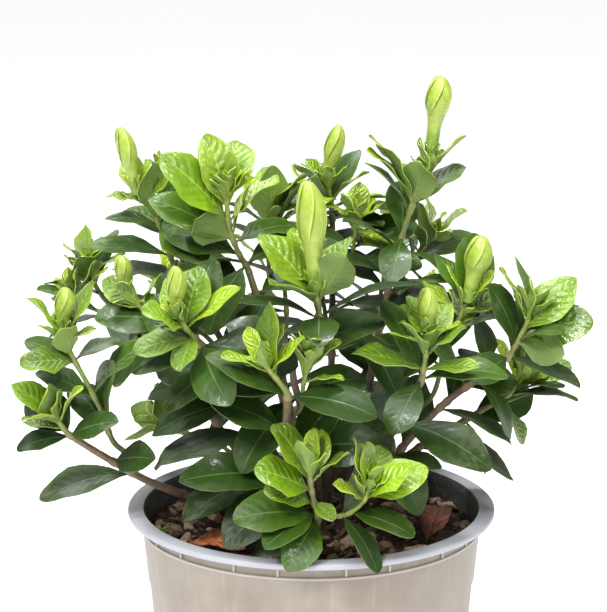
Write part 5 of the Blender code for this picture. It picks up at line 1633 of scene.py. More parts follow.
@dataclass
class Branch:
    """The bare stalk of one growth, swollen where leaves stand."""

    stalk: Stalk
    leaves: list[Leaf]
    finish: bpy.types.Material
    slimming: float = 0.93
    shoot_slimming: float = 0.82
    swelling: float = 0.34
    ring_length: float = 1.5
    roughness: float = 0.07
    roughness_scale: float = 320.0
    foot_flare: float = 0.35
    flare_length: float = 2.5
    sides: int = 12

    # Youth at the foot, its gain by the tip, and the power that it grows with
    WOOD_YOUTH = (0.02, 0.45, 1.6)
    SUCKER_YOUTH = (0.22, 0.45, 1.6)
    SHOOT_YOUTH = (0.52, 0.55, 1.0)

    def share_marks(self, share: float) -> tuple[float, float]:
        """Youth and ring at a share of the length.

        Args:
            share: 0 at the foot, 1 at the tip.

        Returns:
            The two marks.
        """
        length = self.stalk.length / MM
        ring = 0.0
        for leaf in self.leaves:
            gap = (share - leaf.at) * length / self.ring_length
            ring = max(ring, math.exp(-gap * gap))
        if self.stalk.growth.carrier is not None:
            foot, gain, power = self.SHOOT_YOUTH
        elif self.stalk.growth.name.startswith("shoot"):
            foot, gain, power = self.SUCKER_YOUTH
        else:
            foot, gain, power = self.WOOD_YOUTH
        return min(1.0, foot + gain * share**power), ring

    def build(self) -> None:
        """Makes the piece."""
        path = self.stalk.fine
        growth = self.stalk.growth
        chance = random.Random(growth.name)
        Modeller.clear()
        bpy.ops.curve.primitive_nurbs_path_add()
        made = bpy.context.object
        made.name = f"{growth.name}_stem"
        curve = made.data
        curve.splines.clear()
        curve.dimensions = "3D"
        curve.bevel_depth = MM
        curve.bevel_resolution = (self.sides - 4) // 2
        curve.use_fill_caps = True
        spline = curve.splines.new("POLY")
        spline.points.add(len(path) - 1)
        reached = [0.0, *accumulate(spans(path))]
        slim = self.slimming if growth.carrier is None else self.shoot_slimming
        rows = []
        for point, here, span in zip(spline.points, path, reached):
            share = span / reached[-1]
            youth, ring = self.share_marks(share)
            knot = 1.0 + self.swelling * ring + self.roughness * noise.noise(here * self.roughness_scale)
            flare = 1.0 + self.foot_flare * math.exp(-span / (self.flare_length * MM))
            point.co = (*here, 1.0)
            point.radius = self.stalk.radius(share) * slim * knot * flare
            rows.append((youth, ring))
        bpy.ops.object.convert(target="MESH")
        made = bpy.context.object
        made.name = f"{growth.name}_stem"
        Modeller.outward(made)
        self.mark(made, rows, path, chance.random())
        Modeller.smooth(made, 60.0)
        slot = Slot.WOOD if growth.carrier is None else Slot.SHOOT
        hand_over(made, self.finish, slot, growth.name)

    def mark(self, made: bpy.types.Object, rows: list, path: list[Vector], tone: float) -> None:
        """Writes youth, ring and tone on each corner, from the nearest place of the path.

        Args:
            made: the branch.
            rows: youth and ring at each place of the path.
            path: the places.
            tone: darker or lighter than its neighbours.
        """
        tree = finder(path)
        values = []
        for corner in made.data.vertices:
            youth, ring = rows[tree.find(corner.co)[1]]
            values += [youth, ring, tone, 1.0]
        Modeller.mark(made, "stem", values)


@dataclass(frozen=True)
class BudFinish:
    """Flower buds: lime green petals rolled round each other, paler at their free edges, with painted shade
    in the groove under each neighbour's edge.
    """

    groove: Colour = (0.155, 0.265, 0.020)
    petal: Colour = (0.300, 0.405, 0.046)
    edge: Colour = (0.440, 0.535, 0.100)
    neck: Colour = (0.330, 0.425, 0.070)
    cup: Colour = (0.190, 0.320, 0.034)

    def material(self) -> bpy.types.Material:
        """The material; it reads a bud's marks: place across a petal, share of the length, tone.

        Returns:
            The material, ready to wear.
        """
        paint = Paint("bud_petals", Coat_Weight=0.35, Coat_Roughness=0.25, Subsurface_Weight=0.12)
        paint.shader.inputs["Subsurface Radius"].default_value = (0.6, 1.0, 0.3)
        paint.shader.inputs["Subsurface Scale"].default_value = 0.0012
        phase, share, tone, _ = paint.marks("bud")
        place = paint.place()
        head = paint.step(share, 0.22, 0.48)
        # The groove colour, darker under the neighbouring petal's edge, is painted shade
        stops = ((0.0, self.groove), (0.14, self.petal), (0.80, self.petal), (0.97, self.edge))
        colour = paint.ramp(phase, stops)
        colour = paint.mix(head, self.neck, colour)
        colour = paint.mix(paint.step(share, 0.02, -0.12), colour, self.cup)
        cloud = paint.noise(place, 300.0, 3.0)
        shade = paint.times(paint.vary(cloud, 0.84, 1.14), paint.span(tone, 0.86, 1.12))
        colour = paint.shaded(colour, shade)
        # Fine veins run along each petal
        line = paint.maths("ABSOLUTE", paint.maths("SINE", paint.times(phase, 22.0)))
        bumps = paint.relief(line, 0.00010)
        bumps = paint.relief(cloud, 0.00020, bumps)
        return paint.finish(colour, paint.vary(cloud, 0.34, 0.48), bumps)


@dataclass
class Bud:
    """One flower bud with the lobes of its cup."""

    name: str
    shoot: str
    dial: float
    lean: float
    length: float
    radius: float
    petals: int = 5
    rings: int = 34
    turn: float = 85.0
    overlap: float = 0.15
    neck: float = 0.22
    uneven: float = 0.02
    bend: float = 0.03
    stand_off: float = 1.6

    # Share of the length and share of the largest radius, from tip to foot; below 0 is the tube
    OUTLINE = (
        (1.0, 0.0), (0.99, 0.20), (0.965, 0.37), (0.92, 0.55), (0.86, 0.71), (0.78, 0.86), (0.68, 0.96),
        (0.58, 1.0), (0.48, 0.98), (0.38, 0.89), (0.30, 0.76), (0.22, 0.65), (0.12, 0.57), (0.0, 0.52),
        (-0.30, 0.49), (-0.60, 0.44), (-1.0, 0.40),
    )

    # Places across one petal, from the groove under its neighbour's edge to its own free edge
    ACROSS = (0.0, 0.05, 0.13, 0.23, 0.34, 0.46, 0.58, 0.69, 0.79, 0.88, 0.95, 0.985)

    @property
    def tube(self) -> float:
        """Share of the length that the tube runs on below the bud's foot."""
        return TUBES.get(self.name, SHORT_TUBE)

    def outline(self, share: float) -> float:
        """Share of the largest radius at a share of the length.

        Args:
            share: 0 at the foot, 1 at the tip, below 0 on the tube.

        Returns:
            The share, 0 at the very tip.
        """
        for (above, wide), (below, narrow) in zip(self.OUTLINE, self.OUTLINE[1:]):
            if share >= below:
                t = (share - below) / (above - below)
                return narrow + (wide - narrow) * t
        return 0.0

    def frame(self, stalks: dict[str, Stalk]) -> tuple[Vector, Vector]:
        """Foot and direction of the bud."""
        tip, head = along(stalks[self.shoot].coarse, 1.0)
        return tip + head * GAP * self.stand_off * MM, dial_direction(self.dial, self.lean)

    def build(self, stalks: dict[str, Stalk], finish: bpy.types.Material) -> None:
        """Makes the bud from a sphere whose meridians are wound round it, five petals' edges on them.

        Args:
            stalks: the stalks, by name.
            finish: the buds' material.
        """
        foot, axis = self.frame(stalks)
        chance = random.Random(self.name)
        segments = self.petals * len(self.ACROSS)
        Modeller.clear()
        bpy.ops.mesh.primitive_uv_sphere_add(segments=segments, ring_count=self.rings, radius=1.0)
        made = bpy.context.object
        made.name = f"{self.name}_petals"
        side = axis.orthogonal().normalized()
        other = axis.cross(side)
        first = chance.uniform(0.0, 360.0)
        winding = self.turn * chance.uniform(0.85, 1.15)
        values = []
        for corner in made.data.vertices:
            place = corner.co.copy()
            level = 1.0 - math.acos(max(-1.0, min(1.0, place.z))) / math.pi
            share = -self.tube + (1.0 + self.tube) * level**0.9
            turn = math.atan2(place.y, place.x) % (2 * math.pi)
            index = round(turn / (2 * math.pi) * segments) % segments
            petal, step = divmod(index, len(self.ACROSS))
            phase = self.ACROSS[step]
            if place.z > 0.9999 or place.z < -0.9999:
                phase = 0.5
            relief = self.overlap * min(1.0, max(0.0, (share - self.neck) / 0.3))
            lift = 1.0 + relief * (phase**1.3 - 0.75) + self.uneven * math.sin(petal * 2.4)
            angle = (petal + phase) / self.petals * 360.0 + first + winding * max(0.0, share - 0.2)
            radius = self.outline(share) * self.radius * lift * MM
            if level < 1e-4:
                radius = 0.0
            bend = self.bend * self.length * math.sin(math.pi * max(0.0, share)) * MM
            ray = leaning(side, other, angle)
            corner.co = foot + axis * share * self.length * MM + ray * radius + side * bend
            values += [phase, share, chance.random() * 0.05 + 0.5, 1.0]
        Modeller.mark(made, "bud", values)
        Modeller.smooth(made, 40.0)
        hand_over(made, finish, Slot.BUD, self.name)

    def build_cup(self, stalks: dict[str, Stalk], blank: LeafBlank, finish: bpy.types.Material) -> None:
        """Makes the five or six narrow lobes round the bud's neck.

        Args:
            stalks: the stalks, by name.
            blank: the leaf that a lobe is made from.
            finish: the leaves' material.
        """
        foot, axis = self.frame(stalks)
        chance = random.Random(f"{self.name} cup")
        spreading = self.name == "bud_right_front"
        lobes = 5 if spreading else 6
        side = axis.orthogonal().normalized()
        cluster = Cluster(f"{self.name}_cup")
        for index in range(lobes):
            ray = Matrix.Rotation(math.tau * (index + chance.uniform(-0.15, 0.15)) / lobes, 3, axis) @ side
            head = leaning(axis, ray, chance.uniform(52, 68) if spreading else chance.uniform(10, 24))
            length = self.length * MM * chance.uniform(0.36, 0.46)
            lobe = Leaf(
                base=foot - axis * self.tube * 0.85 * self.length * MM + ray * self.radius * 0.40 * MM,
                along=head,
                up=square_to(head, axis).normalized(),
                length=min(length, (7.0 if self.tube > 0.4 else 10.0) * MM),
                width=2.3 * MM,
                arch=math.radians(30.0),
                fold=math.radians(12.0),
                at=1.0,
                kind="T",
            )
            points = blank.grown(lobe, chance, 0.0007, 0.0)
            cluster.add(blank.cast, points, blank.marks(0.86 + 0.1 * chance.random(), chance.random(), 0.0))
        made = cluster.blades()
        hand_over(made, finish, Slot.BUD)


@dataclass(frozen=True)
class PotFinish:
    """Moulded nursery pot: warm grey wall; bluish grey rim, a painted reflection; lighter ridge and ribs, a
    painted highlight; near black inside, partly its own dark plastic and partly painted shade.
    """

    wall: Colour = (0.285, 0.250, 0.211)
    wall_dark: Colour = (0.222, 0.188, 0.152)
    rim: Colour = (0.375, 0.377, 0.415)
    raised: Colour = (0.520, 0.480, 0.420)
    inside: Colour = (0.085, 0.085, 0.090)
    dust: Colour = (0.500, 0.450, 0.385)
    rim_height: float = 0.1469

    def material(self) -> bpy.types.Material:
        """The material, by place: inside, rim or wall.

        Returns:
            The material, ready to wear.
        """
        paint = Paint("pot_wall", Coat_Weight=0.05, Coat_Roughness=0.4, Specular_IOR_Level=0.45)
        place = paint.place()
        x, y, z = paint.split(place)
        radius = paint.maths("SQRT", paint.plus(paint.maths("POWER", x, 2.0), paint.maths("POWER", y, 2.0)))
        cloud = paint.noise(place, 26.0, 4.0, 0.6)
        fine = paint.noise(place, 420.0, 3.0, 0.6)
        drip = paint.noise(paint.join(x, y, paint.times(z, 0.12)), 180.0, 4.0, 0.6)
        wall = paint.mix(paint.step(cloud, 0.35, 0.68), self.wall_dark, self.wall)
        wall = paint.mix(paint.step(drip, 0.52, 0.75, 0.16), wall, self.dust)
        # Painted highlight: the raised ridge and ribs are painted lighter where they catch the light
        wall = paint.mix(paint.step(radius, 0.08812, 0.08832, 0.7), wall, self.raised)
        # Painted reflection: the rim's top is a lighter bluish grey; the dust on it is real
        rim = paint.mix(paint.step(fine, 0.55, 0.75, 0.25), self.rim, self.dust)
        above = paint.step(z, self.rim_height - 0.0002, self.rim_height)
        colour = paint.mix(above, wall, rim)
        lower = paint.scale(z, 0.0034, 0.1116, 0.0741, 0.08335)
        upper = paint.scale(z, 0.1116, 0.1450, 0.0, 0.0036)
        middle = paint.plus(lower, upper)
        within = paint.step(paint.maths("SUBTRACT", middle, radius), -0.0001, 0.0001)
        floor = paint.step(z, 0.0010, 0.0016)
        # Near black inside: partly the pot's own dark inner wall, partly painted shade inside the pot; the
        # dust on it is real
        dark = paint.mix(paint.step(fine, 0.50, 0.72, 0.35), self.inside, self.dust)
        top = paint.step(z, 0.1500, 0.1494)
        inner = paint.times(paint.times(within, floor), top)
        colour = paint.mix(inner, colour, dark)
        speck = paint.step(paint.noise(place, 1500.0, 1.0), 0.70, 0.76, 0.5)
        colour = paint.mix(speck, colour, (0.16, 0.12, 0.09))
        bumps = paint.relief(fine, 0.00008)
        bumps = paint.relief(drip, 0.00012, bumps)
        return paint.finish(colour, paint.vary(cloud, 0.42, 0.58), bumps)


@dataclass
class Pot:
    """The pot: all sizes in millimetres."""

    steps: int = 180
    rounding: float = 0.35
    rib_groups: int = 10
    rib_turn: float = 7.25
    rib_width: float = 1.2
    rib_depth: float = 1.5
    rib_radius: float = 88.1
    rib_bottom: float = 141.4
    rib_top: float = 146.9
    holes: int = 6
    hole_radius: float = 4.5
    hole_ring: float = 52.0

    # Radius and height, from the outside of the base up, over the rim and down to the inner floor
    PROFILE = (
        (73.4, 0.0), (75.0, 3.4), (84.2, 111.8), (85.0, 112.8), (87.5, 139.0), (88.3, 139.6),
        (88.3, 140.8), (87.6, 141.4), (88.1, 147.0), (94.3, 147.0), (95.0, 147.6), (95.0, 149.3),
        (94.3, 150.0), (86.9, 150.0), (86.1, 145.0), (83.3, 112.4), (82.5, 111.4), (73.2, 3.4),
        (71.6, 1.8),
    )

    def drilled(self, made: bpy.types.Object) -> None:
        """Cuts the drain holes in the base.

        Args:
            made: the pot's wall and base.
        """
        for index in range(self.holes):
            turn = math.tau / self.holes * (index + 0.5)
            x = self.hole_ring * math.cos(turn)
            y = self.hole_ring * math.sin(turn)
            Modeller.clear()
            bpy.ops.mesh.primitive_cylinder_add(
                vertices=32, radius=self.hole_radius * MM, depth=8.0 * MM, location=(x * MM, y * MM, 0.0)
            )
            drill = bpy.context.object
            Modeller.apply(made, "BOOLEAN", object=drill, operation="DIFFERENCE")
            bpy.data.objects.remove(drill)

    def rib(self, turn: float) -> bpy.types.Object:
        """One upright rib on the band below the rim, at a turn in radians.

        Args:
            turn: the turn from +X.

        Returns:
            The rib.
        """
        Modeller.clear()
        bpy.ops.mesh.primitive_cube_add(size=1.0)
        made = bpy.context.object
        height = self.rib_top - self.rib_bottom
        bpy.ops.transform.resize(value=(self.rib_depth * MM, self.rib_width * MM, height * MM))
        Modeller.settle(made)
        Modeller.apply(made, "BEVEL", width=0.3 * MM, segments=2)
        middle = (self.rib_top + self.rib_bottom) / 2
        x, y = self.rib_radius * math.cos(turn), self.rib_radius * math.sin(turn)
        made.location = (x * MM, y * MM, middle * MM)
        made.rotation_euler = (0.0, 0.0, turn)
        Modeller.settle(made)
        return made

    def build(self, finish: bpy.types.Material) -> None:
        """Makes the pot as one piece.

        Args:
            finish: the pot's material.
        """
        body = Modeller.turned("pot_shell", self.steps, self.PROFILE)
        Modeller.apply(
            body,
            "BEVEL",
            width=self.rounding * MM,
            segments=2,
            limit_method="ANGLE",
            angle_limit=math.radians(18.0),
            use_clamp_overlap=True,
        )
        self.drilled(body)
        parts = [body]
        for group in range(self.rib_groups):
            middle = 360.0 / self.rib_groups * (group + 0.5) - 90.0
            for side in (-1, 1):
                parts.append(self.rib(math.radians(middle + side * self.rib_turn)))
        Modeller.clear()
        for part in parts:
            part.select_set(True)
        bpy.context.view_layer.objects.active = body
        bpy.ops.object.join()
        Modeller.smooth(body, 35.0)
        hand_over(body, finish, Slot.POT, "pot")


@dataclass(frozen=True)
class CompostFinish:
    """Moist dark compost between the chips."""

    dark: Colour = (0.018, 0.012, 0.008)
    brown: Colour = (0.075, 0.046, 0.028)
    fleck: Colour = (0.240, 0.160, 0.095)

    def material(self) -> bpy.types.Material:
        """The material, by place.

        Returns:
            The material, ready to wear.
        """
        paint = Paint("compost_crumb", Specular_IOR_Level=0.3)
        place = paint.place()
        crumb = paint.cells(place, 420.0)
        coarse = paint.noise(place, 160.0, 5.0, 0.65)
        fine = paint.noise(place, 900.0, 4.0, 0.7)
        colour = paint.mix(paint.step(coarse, 0.38, 0.66), self.dark, self.brown)
        colour = paint.mix(paint.step(fine, 0.58, 0.72, 0.7), colour, self.fleck)
        bumps = paint.relief(crumb["Distance"], 0.0012)
        bumps = paint.relief(fine, 0.0010, bumps)
        return paint.finish(colour, 0.9, bumps)


@dataclass(frozen=True)
class ChipFinish:
    """Broken bark, each chip of its own brown, with grain along it."""

    name: str
    grain: float = 1.0

    def material(self) -> bpy.types.Material:
        """The material; it reads each chip's own colour.

        Returns:
            The material, ready to wear.
        """
        paint = Paint(self.name, Specular_IOR_Level=0.35)
        red, green, blue, _ = paint.marks("chip")
        own = paint.join(red, green, blue)
        place = paint.place()
        x, y, z = paint.split(place)
        streak = paint.noise(paint.join(x, paint.times(y, 3.2), z), 420.0, 5.0, 0.7)
        fine = paint.noise(place, 1500.0, 3.0, 0.6)
        shade = paint.scale(streak, 0.28, 0.72, 0.45, 1.55)
        colour = paint.shaded(own, shade)
        bumps = paint.relief(streak, 0.0009 * self.grain)
        bumps = paint.relief(fine, 0.0003, bumps)
        return paint.finish(colour, paint.vary(fine, 0.72, 0.92), bumps)


@dataclass(frozen=True)
class DryLeafFinish:
    """A fallen leaf that has dried: curled, with darker blotches and a pale rib."""

    name: str
    light: Colour
    dark: Colour

    def material(self) -> bpy.types.Material:
        """The material; it reads the leaf's map.

        Returns:
            The material, ready to wear.
        """
        paint = Paint(self.name, Coat_Weight=0.1, Coat_Roughness=0.4)
        uv = paint.node("UVMap", {}, uv_map="map").outputs[0]
        share, across, _ = paint.split(uv)
        half = paint.maths("ABSOLUTE", paint.maths("MULTIPLY_ADD", across, 2.0, -1.0))
        place = paint.place()
        blotch = paint.noise(place, 190.0, 4.0, 0.65)
        fine = paint.noise(place, 900.0, 3.0)
        colour = paint.mix(paint.step(blotch, 0.40, 0.66), self.light, self.dark)
        colour = paint.mix(paint.step(half, 0.7, 1.0, 0.6), colour, self.dark)
        rib = paint.step(half, 0.10, 0.03)
        colour = paint.mix(paint.times(rib, 0.5), colour, self.light)
        run = paint.times(paint.maths("MULTIPLY_ADD", half, -0.24, share), 8.5)
        beat = paint.maths("ABSOLUTE", paint.maths("SUBTRACT", paint.maths("FRACT", run), 0.5))
        bumps = paint.relief(beat, 0.0009)
        bumps = paint.relief(fine, 0.0004, bumps)
        return paint.finish(colour, paint.vary(fine, 0.45, 0.7), bumps)


@dataclass
class Compost:
    """The compost's surface, its loose chips and the litter on it; sizes in millimetres."""

    steps: int = 144
    rings: int = 44
    bump: float = 2.6
    chips: int = 900
    shards: int = 8
    reach: float = 83.0
    edge: float = 84.6
    lowest: float = 136.5
    chip_length: float = 2.8
    chip_spread: float = 10.0
    chip_tilt: float = 32.0
    chip_pitch: float = 24.0

    # Radius and height of the surface at rest, and of the body from its base up
    SURFACE = ((0.0, 139.0), (34.0, 139.0), (46.0, 138.4), (58.0, 137.8), (70.0, 137.4), (84.6, 137.0))
    BODY = ((71.3, 2.2), (72.8, 4.2), (82.1, 111.4))
    BROWNS = (
        (0.062, 0.034, 0.020), (0.130, 0.076, 0.044), (0.250, 0.158, 0.092), (0.350, 0.235, 0.145),
        (0.430, 0.320, 0.215), (0.180, 0.080, 0.046), (0.290, 0.205, 0.140), (0.045, 0.027, 0.018),
    )

    def level(self, radius: float) -> float:
        """Height of the resting surface at a radius.

        Args:
            radius: distance from the pot's axis.

        Returns:
            The height above the ground.
        """
        for (near, high), (far, low) in zip(self.SURFACE, self.SURFACE[1:]):
            if radius <= far:
                return high + (low - high) * (radius - near) / (far - near)
        return self.SURFACE[-1][1]

    def height(self, x: float, y: float) -> float:
        """Height of the bumpy surface.

        Args:
            x: place to the right.
            y: place to the back.

        Returns:
            The height above the ground.
        """
        radius = math.hypot(x, y)
        edge = min(1.0, max(0.0, (self.edge - radius) / 4.0))
        here = Vector((x, y, 0.0))
        lumps = noise.noise(here / 9.0) * self.bump + noise.noise(here / 3.1 + Vector((7, 3, 1))) * 0.9
        return self.level(radius) + lumps * edge

    def build(self, finish: bpy.types.Material) -> None:
        """Makes the compost: a disc raised from its base to the surface, whose points are then lifted.

        Args:
            finish: the compost's material.
        """
        profile = list(self.BODY)
        for ring in range(self.rings + 1):
            radius = self.edge * (1.0 - ring / (self.rings + 1))
            profile.append((radius, self.level(radius)))
        made = Modeller.turned("compost_bed", self.steps, profile)
        for corner in made.data.vertices:
            x, y, z = corner.co / MM
            if z > self.lowest:
                corner.co.z = self.height(x, y) * MM
        Modeller.smooth(made, 40.0)
        hand_over(made, finish, Slot.COMPOST, "soil")

    def shard(self, seed: int) -> Cast:
        """One chip's shape: a ball of few faces, flattened and broken unevenly.

        Args:
            seed: what its random draws start from.

        Returns:
            The chip's shape, about its own middle.
        """
        Modeller.clear()
        bpy.ops.mesh.primitive_ico_sphere_add(subdivisions=1, radius=0.5)
        made = bpy.context.object
        chance = random.Random(f"shard {seed}")
        bpy.ops.transform.resize(value=(1.0, chance.uniform(0.40, 0.70), chance.uniform(0.30, 0.52)))
        Modeller.settle(made)
        for corner in made.data.vertices:
            corner.co.x *= chance.uniform(0.72, 1.2)
            corner.co.y *= chance.uniform(0.65, 1.3)
            corner.co.z *= chance.uniform(0.6, 1.35)
        return Cast.of(made)

    def covers_litter(self, x: float, y: float, margin: float) -> bool:
        """True where a chip would hide a fallen leaf or a large chip.

        Args:
            x: the chip's place to the right.
            y: its place to the back.
            margin: clear space that it needs round it.

        Returns:
            Whether the chip has to go elsewhere.
        """
        for node in ("fallen_leaf_orange", "fallen_leaf_brown", "bark_chip_front"):
            low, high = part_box(node)
            inside_x = low[0] / MM - margin < x < high[0] / MM + margin
            inside_y = low[1] / MM - margin < y < high[1] / MM + margin
            if inside_x and inside_y:
                return True
        return False

    def scatter(self, finish: bpy.types.Material) -> None:
        """Strews loose chips over the surface, as one piece.

        Args:
            finish: the chips' material.
        """
        chance = random.Random("bark chips")
        casts = [self.shard(seed) for seed in range(self.shards)]
        cluster = Cluster("compost_chips")
        for _ in range(self.chips):
            radius = self.reach * math.sqrt(chance.random())
            turn = chance.uniform(0.0, math.tau)
            length = self.chip_length + self.chip_spread * chance.random() ** 2.2
            radius = min(radius, self.reach - length * 0.45)
            x, y = radius * math.cos(turn), radius * math.sin(turn)
            if self.covers_litter(x, y, length * 0.5):
                continue
            cast = casts[chance.randrange(len(casts))]
            tilt = Matrix.Rotation(math.radians(chance.gauss(0.0, self.chip_tilt)), 3, "X")
            pitch = Matrix.Rotation(math.radians(chance.gauss(0.0, self.chip_pitch)), 3, "Y")
            spin = Matrix.Rotation(chance.uniform(0.0, math.tau), 3, "Z")
            turned = np.array(spin @ tilt @ pitch)
            centre = np.array((x, y, self.height(x, y) + length * 0.10))
            points = (cast.points * length @ turned.T + centre) * MM
            brown = self.BROWNS[chance.randrange(len(self.BROWNS))]
            light = chance.uniform(0.75, 1.25)
            corners = sum(len(face) for face in cast.faces)
            marks = np.tile(np.array((*(value * light for value in brown), 1.0)), (corners, 1))
            cluster.add(cast, points, marks)
        made = cluster.build("chip")
        hand_over(made, finish, Slot.BARK)

    def big_chip(self, node: str, seed: int, turn: float, finish: bpy.types.Material) -> None:
        """One of the large chips, made to fill its node's box.

        Args:
            node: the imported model's node.
            seed: number of its own shape.
            turn: of its length about the upright, in degrees.
            finish: its material.
        """
        low, high = (Vector(corner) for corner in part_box(node))
        middle, size = (low + high) / 2, high - low
        chance = random.Random(f"big chip {seed}")
        Modeller.clear()
        bpy.ops.mesh.primitive_cube_add(size=1.0)
        made = bpy.context.object
        made.name = f"{node}_wood"
        bpy.ops.object.mode_set(mode="EDIT")
        bpy.ops.mesh.select_all(action="SELECT")
        bpy.ops.mesh.subdivide(number_cuts=7)
        bpy.ops.object.mode_set(mode="OBJECT")
        for corner in made.data.vertices:
            place = corner.co.copy()
            taper = 1.0 - 0.5 * abs(place.x * 2) ** 3
            split = noise.noise(Vector((place.x * 2.0, place.y * 7.0, place.z * 7.0 + seed)))
            corner.co.y *= taper * (1.0 + 0.25 * split)
            corner.co.z *= 1.0 + 0.35 * noise.noise(Vector((place.x * 3.0, place.y * 9.0, seed * 3.7)))
            corner.co.x += 0.10 * noise.noise(Vector((seed, place.y * 6.0, place.z * 6.0)))
        made.rotation_euler = (0.0, 0.0, math.radians(turn))
        spread = abs(math.cos(math.radians(turn))) + 0.5 * abs(math.sin(math.radians(turn)))
        length = size.x / spread
        made.scale = (length, length * 0.52, size.z * 0.95)
        made.location = middle
        Modeller.settle(made)
        Modeller.smooth(made, 32.0)
        brown = self.BROWNS[(seed * 2 + 3) % len(self.BROWNS)]
        Modeller.mark(made, "chip", [*(value * 1.1 for value in brown), 1.0] * len(made.data.vertices))
        hand_over(made, finish, Slot.BARK, node)


@dataclass
class FallenLeaf:
    """A dried leaf lying on the compost, in its node's box."""

    node: str
    turn: float
    width: float
    finish: DryLeafFinish
    slot: Slot
    pitch: float = 4.0
    lean: float = 12.0
    curl: float = 50.0
    fold: float = 24.0

    def build(self, blank: LeafBlank) -> None:
        """Makes the leaf: its tip raised by the pitch, its face turned to the front by the lean.

        Args:
            blank: the leaf that it is bent from.
        """
        low, high = (Vector(corner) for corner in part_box(self.node))
        middle = (low + high) / 2
        turn = math.radians(self.turn)
        head = Vector((math.cos(turn), math.sin(turn), 0.0))
        size = high - low
        length = min(size.x / max(0.3, abs(head.x)), size.y / max(0.3, abs(head.y)))
        base = middle - head * length / 2
        head = leaning(head, UP, self.pitch).normalized()
        face = leaning(UP, FRONT, self.lean)
        leaf = Leaf(
            base=base,
            along=head,
            up=square_to(head, face).normalized(),
            length=length * 1.02,
            width=self.width * MM,
            arch=math.radians(self.curl),
            fold=math.radians(self.fold),
            at=0.0,
            kind="M",
        )
        cluster = Cluster(f"{self.node}_blade")
        points = blank.grown(leaf, random.Random(self.node), 0.0006, 0.0012)
        points[:, 2] += low.z + 0.0003 - points[:, 2].min()
        cluster.add(blank.cast, points, blank.marks(0.0, 0.5, 0.0))
        made = cluster.blades()
        hand_over(made, self.finish.material(), self.slot, self.node)


@dataclass
class Sprout:
    """A tiny seedling: a thread of a stalk and a few round leaves."""

    name: str
    foot: tuple[float, float]
    height: float
    leaves: int

    def build(self, compost: Compost, blank: LeafBlank, finish: bpy.types.Material) -> None:
        """Makes the seedling as one piece.

        Args:
            compost: the surface that it comes out of.
            blank: the leaf that its leaves are copied from.
            finish: the leaves' material.
        """
        chance = random.Random(self.name)
        x, y = self.foot
        ground = Vector((x, y, compost.height(x, y) - 0.5)) * MM
        cluster = Cluster(self.name)
        top = ground + UP * self.height * MM
        stalk = Leaf(ground, UP, FRONT, self.height * MM, 1.0 * MM, 0.2, 0.2, 1.0, "T")
        cluster.add(blank.cast, blank.grown(stalk, chance, 0.0008, 0.0), blank.marks(0.7, 0.5, 0.0))
        for index in range(self.leaves):
            turn = math.degrees(math.tau * index / self.leaves)
            head = dial_direction(25.0 if index % 2 else 155.0, 40.0 * math.cos(math.radians(turn)))
            leaf = Leaf(
                top - UP * 1.2 * MM * (index // 2), head, square_to(head, UP).normalized(),
                5.2 * MM, 3.6 * MM, 0.5, 0.1, 1.0, "T",
            )
            points = blank.grown(leaf, chance, 0.0005, 0.0002)
            cluster.add(blank.cast, points, blank.marks(0.74, chance.random(), 0.0))
        made = cluster.blades()
        hand_over(made, finish, Slot.SHOOT)


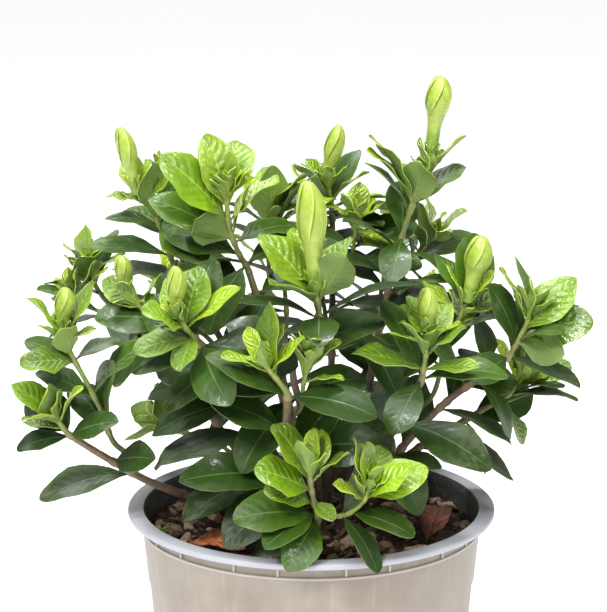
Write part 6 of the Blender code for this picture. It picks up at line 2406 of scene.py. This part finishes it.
@dataclass
class Studio:
    """A pale floor, soft light from large panels and the camera, a little above the pot's rim."""

    camera_place: Vector = Vector((-0.0040, -1.0537, 0.4944))
    camera_pitch: float = 77.2
    lens: float = 125.0
    film: float = 36.0
    floor_size: float = 40.0
    surround: float = 0.25
    backdrop: float = 1.0
    sun_strength: float = 2.9
    sun_angle: float = 50.0
    sun_turn: tuple[float, float, float] = (32.0, 0.0, -28.0)

    # Name, place, size, power in watts; each panel faces the plant's middle
    PANELS = (
        ("left_panel", (-0.70, -1.00, 1.30), 0.24, 12.0),
        ("right_panel", (0.60, -0.95, 1.45), 0.24, 10.0),
        ("fill_panel", (1.30, -0.95, 0.75), 0.60, 3.0),
        ("top_panel", (0.05, -0.05, 1.60), 0.28, 18.0),
        ("back_panel", (-0.60, 1.30, 1.10), 0.70, 6.0),
    )
    AIM = Vector((0.0, 0.0, 0.24))

    def floor(self) -> None:
        """The floor, which runs on past where the camera can see."""
        Modeller.clear()
        bpy.ops.mesh.primitive_plane_add(size=self.floor_size, location=(0.0, 0.0, -0.0005))
        made = bpy.context.object
        made.name = "studio_floor"
        paint = Paint("studio_floor", Specular_IOR_Level=0.2)
        cloud = paint.noise(paint.place(), 2.0, 2.0)
        colour = paint.mix(cloud, (0.95, 0.95, 0.95), (0.97, 0.97, 0.97))
        made.data.materials.append(paint.finish(colour, 0.8))

    def world(self) -> None:
        """An even white surround."""
        surround = bpy.data.worlds.new("studio")
        surround.use_nodes = True
        tree = surround.node_tree
        background = tree.nodes["Background"]
        background.inputs["Color"].default_value = (1.0, 1.0, 1.0, 1.0)
        seen = tree.nodes.new("ShaderNodeLightPath")
        strength = tree.nodes.new("ShaderNodeMapRange")
        strength.inputs["To Min"].default_value = self.surround
        strength.inputs["To Max"].default_value = self.backdrop
        tree.links.new(seen.outputs["Is Camera Ray"], strength.inputs["Value"])
        tree.links.new(strength.outputs["Result"], background.inputs["Strength"])
        bpy.context.scene.world = surround

    def panels(self) -> None:
        """The lights."""
        for name, place, size, power in self.PANELS:
            light = bpy.data.lights.new(name, "AREA")
            light.shape = "SQUARE"
            light.size = size
            light.energy = power
            made = Modeller.placed(name, light)
            made.location = place
            made.rotation_euler = (self.AIM - Vector(place)).to_track_quat("-Z", "Y").to_euler()

    def sun(self) -> None:
        """Broad even light from above and in front, which reaches the whole floor."""
        light = bpy.data.lights.new("broad_light", "SUN")
        light.energy = self.sun_strength
        light.angle = math.radians(self.sun_angle)
        made = Modeller.placed("broad_light", light)
        made.rotation_euler = tuple(math.radians(turn) for turn in self.sun_turn)

    def camera(self) -> None:
        """The camera: a long lens that looks slightly down."""
        lens = bpy.data.cameras.new("camera")
        lens.sensor_fit = "VERTICAL"
        lens.sensor_height = self.film
        lens.lens = self.lens
        lens.clip_end = 100.0
        made = Modeller.placed("camera", lens)
        made.location = self.camera_place
        made.rotation_euler = (math.radians(self.camera_pitch), 0.0, 0.0)
        bpy.context.scene.camera = made

    def build(self) -> None:
        """Sets everything up."""
        self.floor()
        self.world()
        self.panels()
        self.sun()
        self.camera()
        bpy.context.scene.view_settings.view_transform = "Standard"


# Turn of each large chip about the upright, in degrees
BIG_CHIPS = {"bark_chip_front": 25.0, "bark_chip_right": 70.0, "bark_chip_left": -35.0}


def main() -> None:
    """Builds every piece in order."""
    logging.basicConfig(level=logging.INFO, format="%(message)s")
    stalks = grow_stalks()
    blank = LeafBlank()
    blade = LeafFinish().material()
    bark = BarkFinish().material()
    count = 0
    for stalk in stalks.values():
        count += Foliage(stalk, blank, blade).build()
        Branch(stalk, stalk.leaves(), bark).build()
    log.info("leaves: %d", count)
    petals = BudFinish().material()
    for row in BUDS:
        bud = Bud(*row)
        bud.build(stalks, petals)
        bud.build_cup(stalks, blank, blade)
    Pot().build(PotFinish().material())
    compost = Compost()
    compost.build(CompostFinish().material())
    compost.scatter(ChipFinish("bark_chips").material())
    wood = ChipFinish("bark_wood", 1.3).material()
    for seed, (node, turn) in enumerate(BIG_CHIPS.items()):
        compost.big_chip(node, seed, turn, wood)
    orange = DryLeafFinish("dry_orange", (0.62, 0.20, 0.05), (0.30, 0.075, 0.025))
    brown = DryLeafFinish("dry_brown", (0.26, 0.085, 0.045), (0.10, 0.035, 0.022))
    FallenLeaf("fallen_leaf_orange", -20.0, 13.0, orange, Slot.ORANGE, lean=25.0).build(blank)
    FallenLeaf("fallen_leaf_brown", 72.0, 17.0, brown, Slot.BROWN, pitch=22.0, lean=35.0).build(blank)
    Sprout("sprout_left", (-76.0, -28.0), 8.0, 4).build(compost, blank, blade)
    Sprout("sprout_right", (64.0, -52.0), 6.0, 3).build(compost, blank, blade)
    Studio().build()


if __name__ == "__main__":
    main()
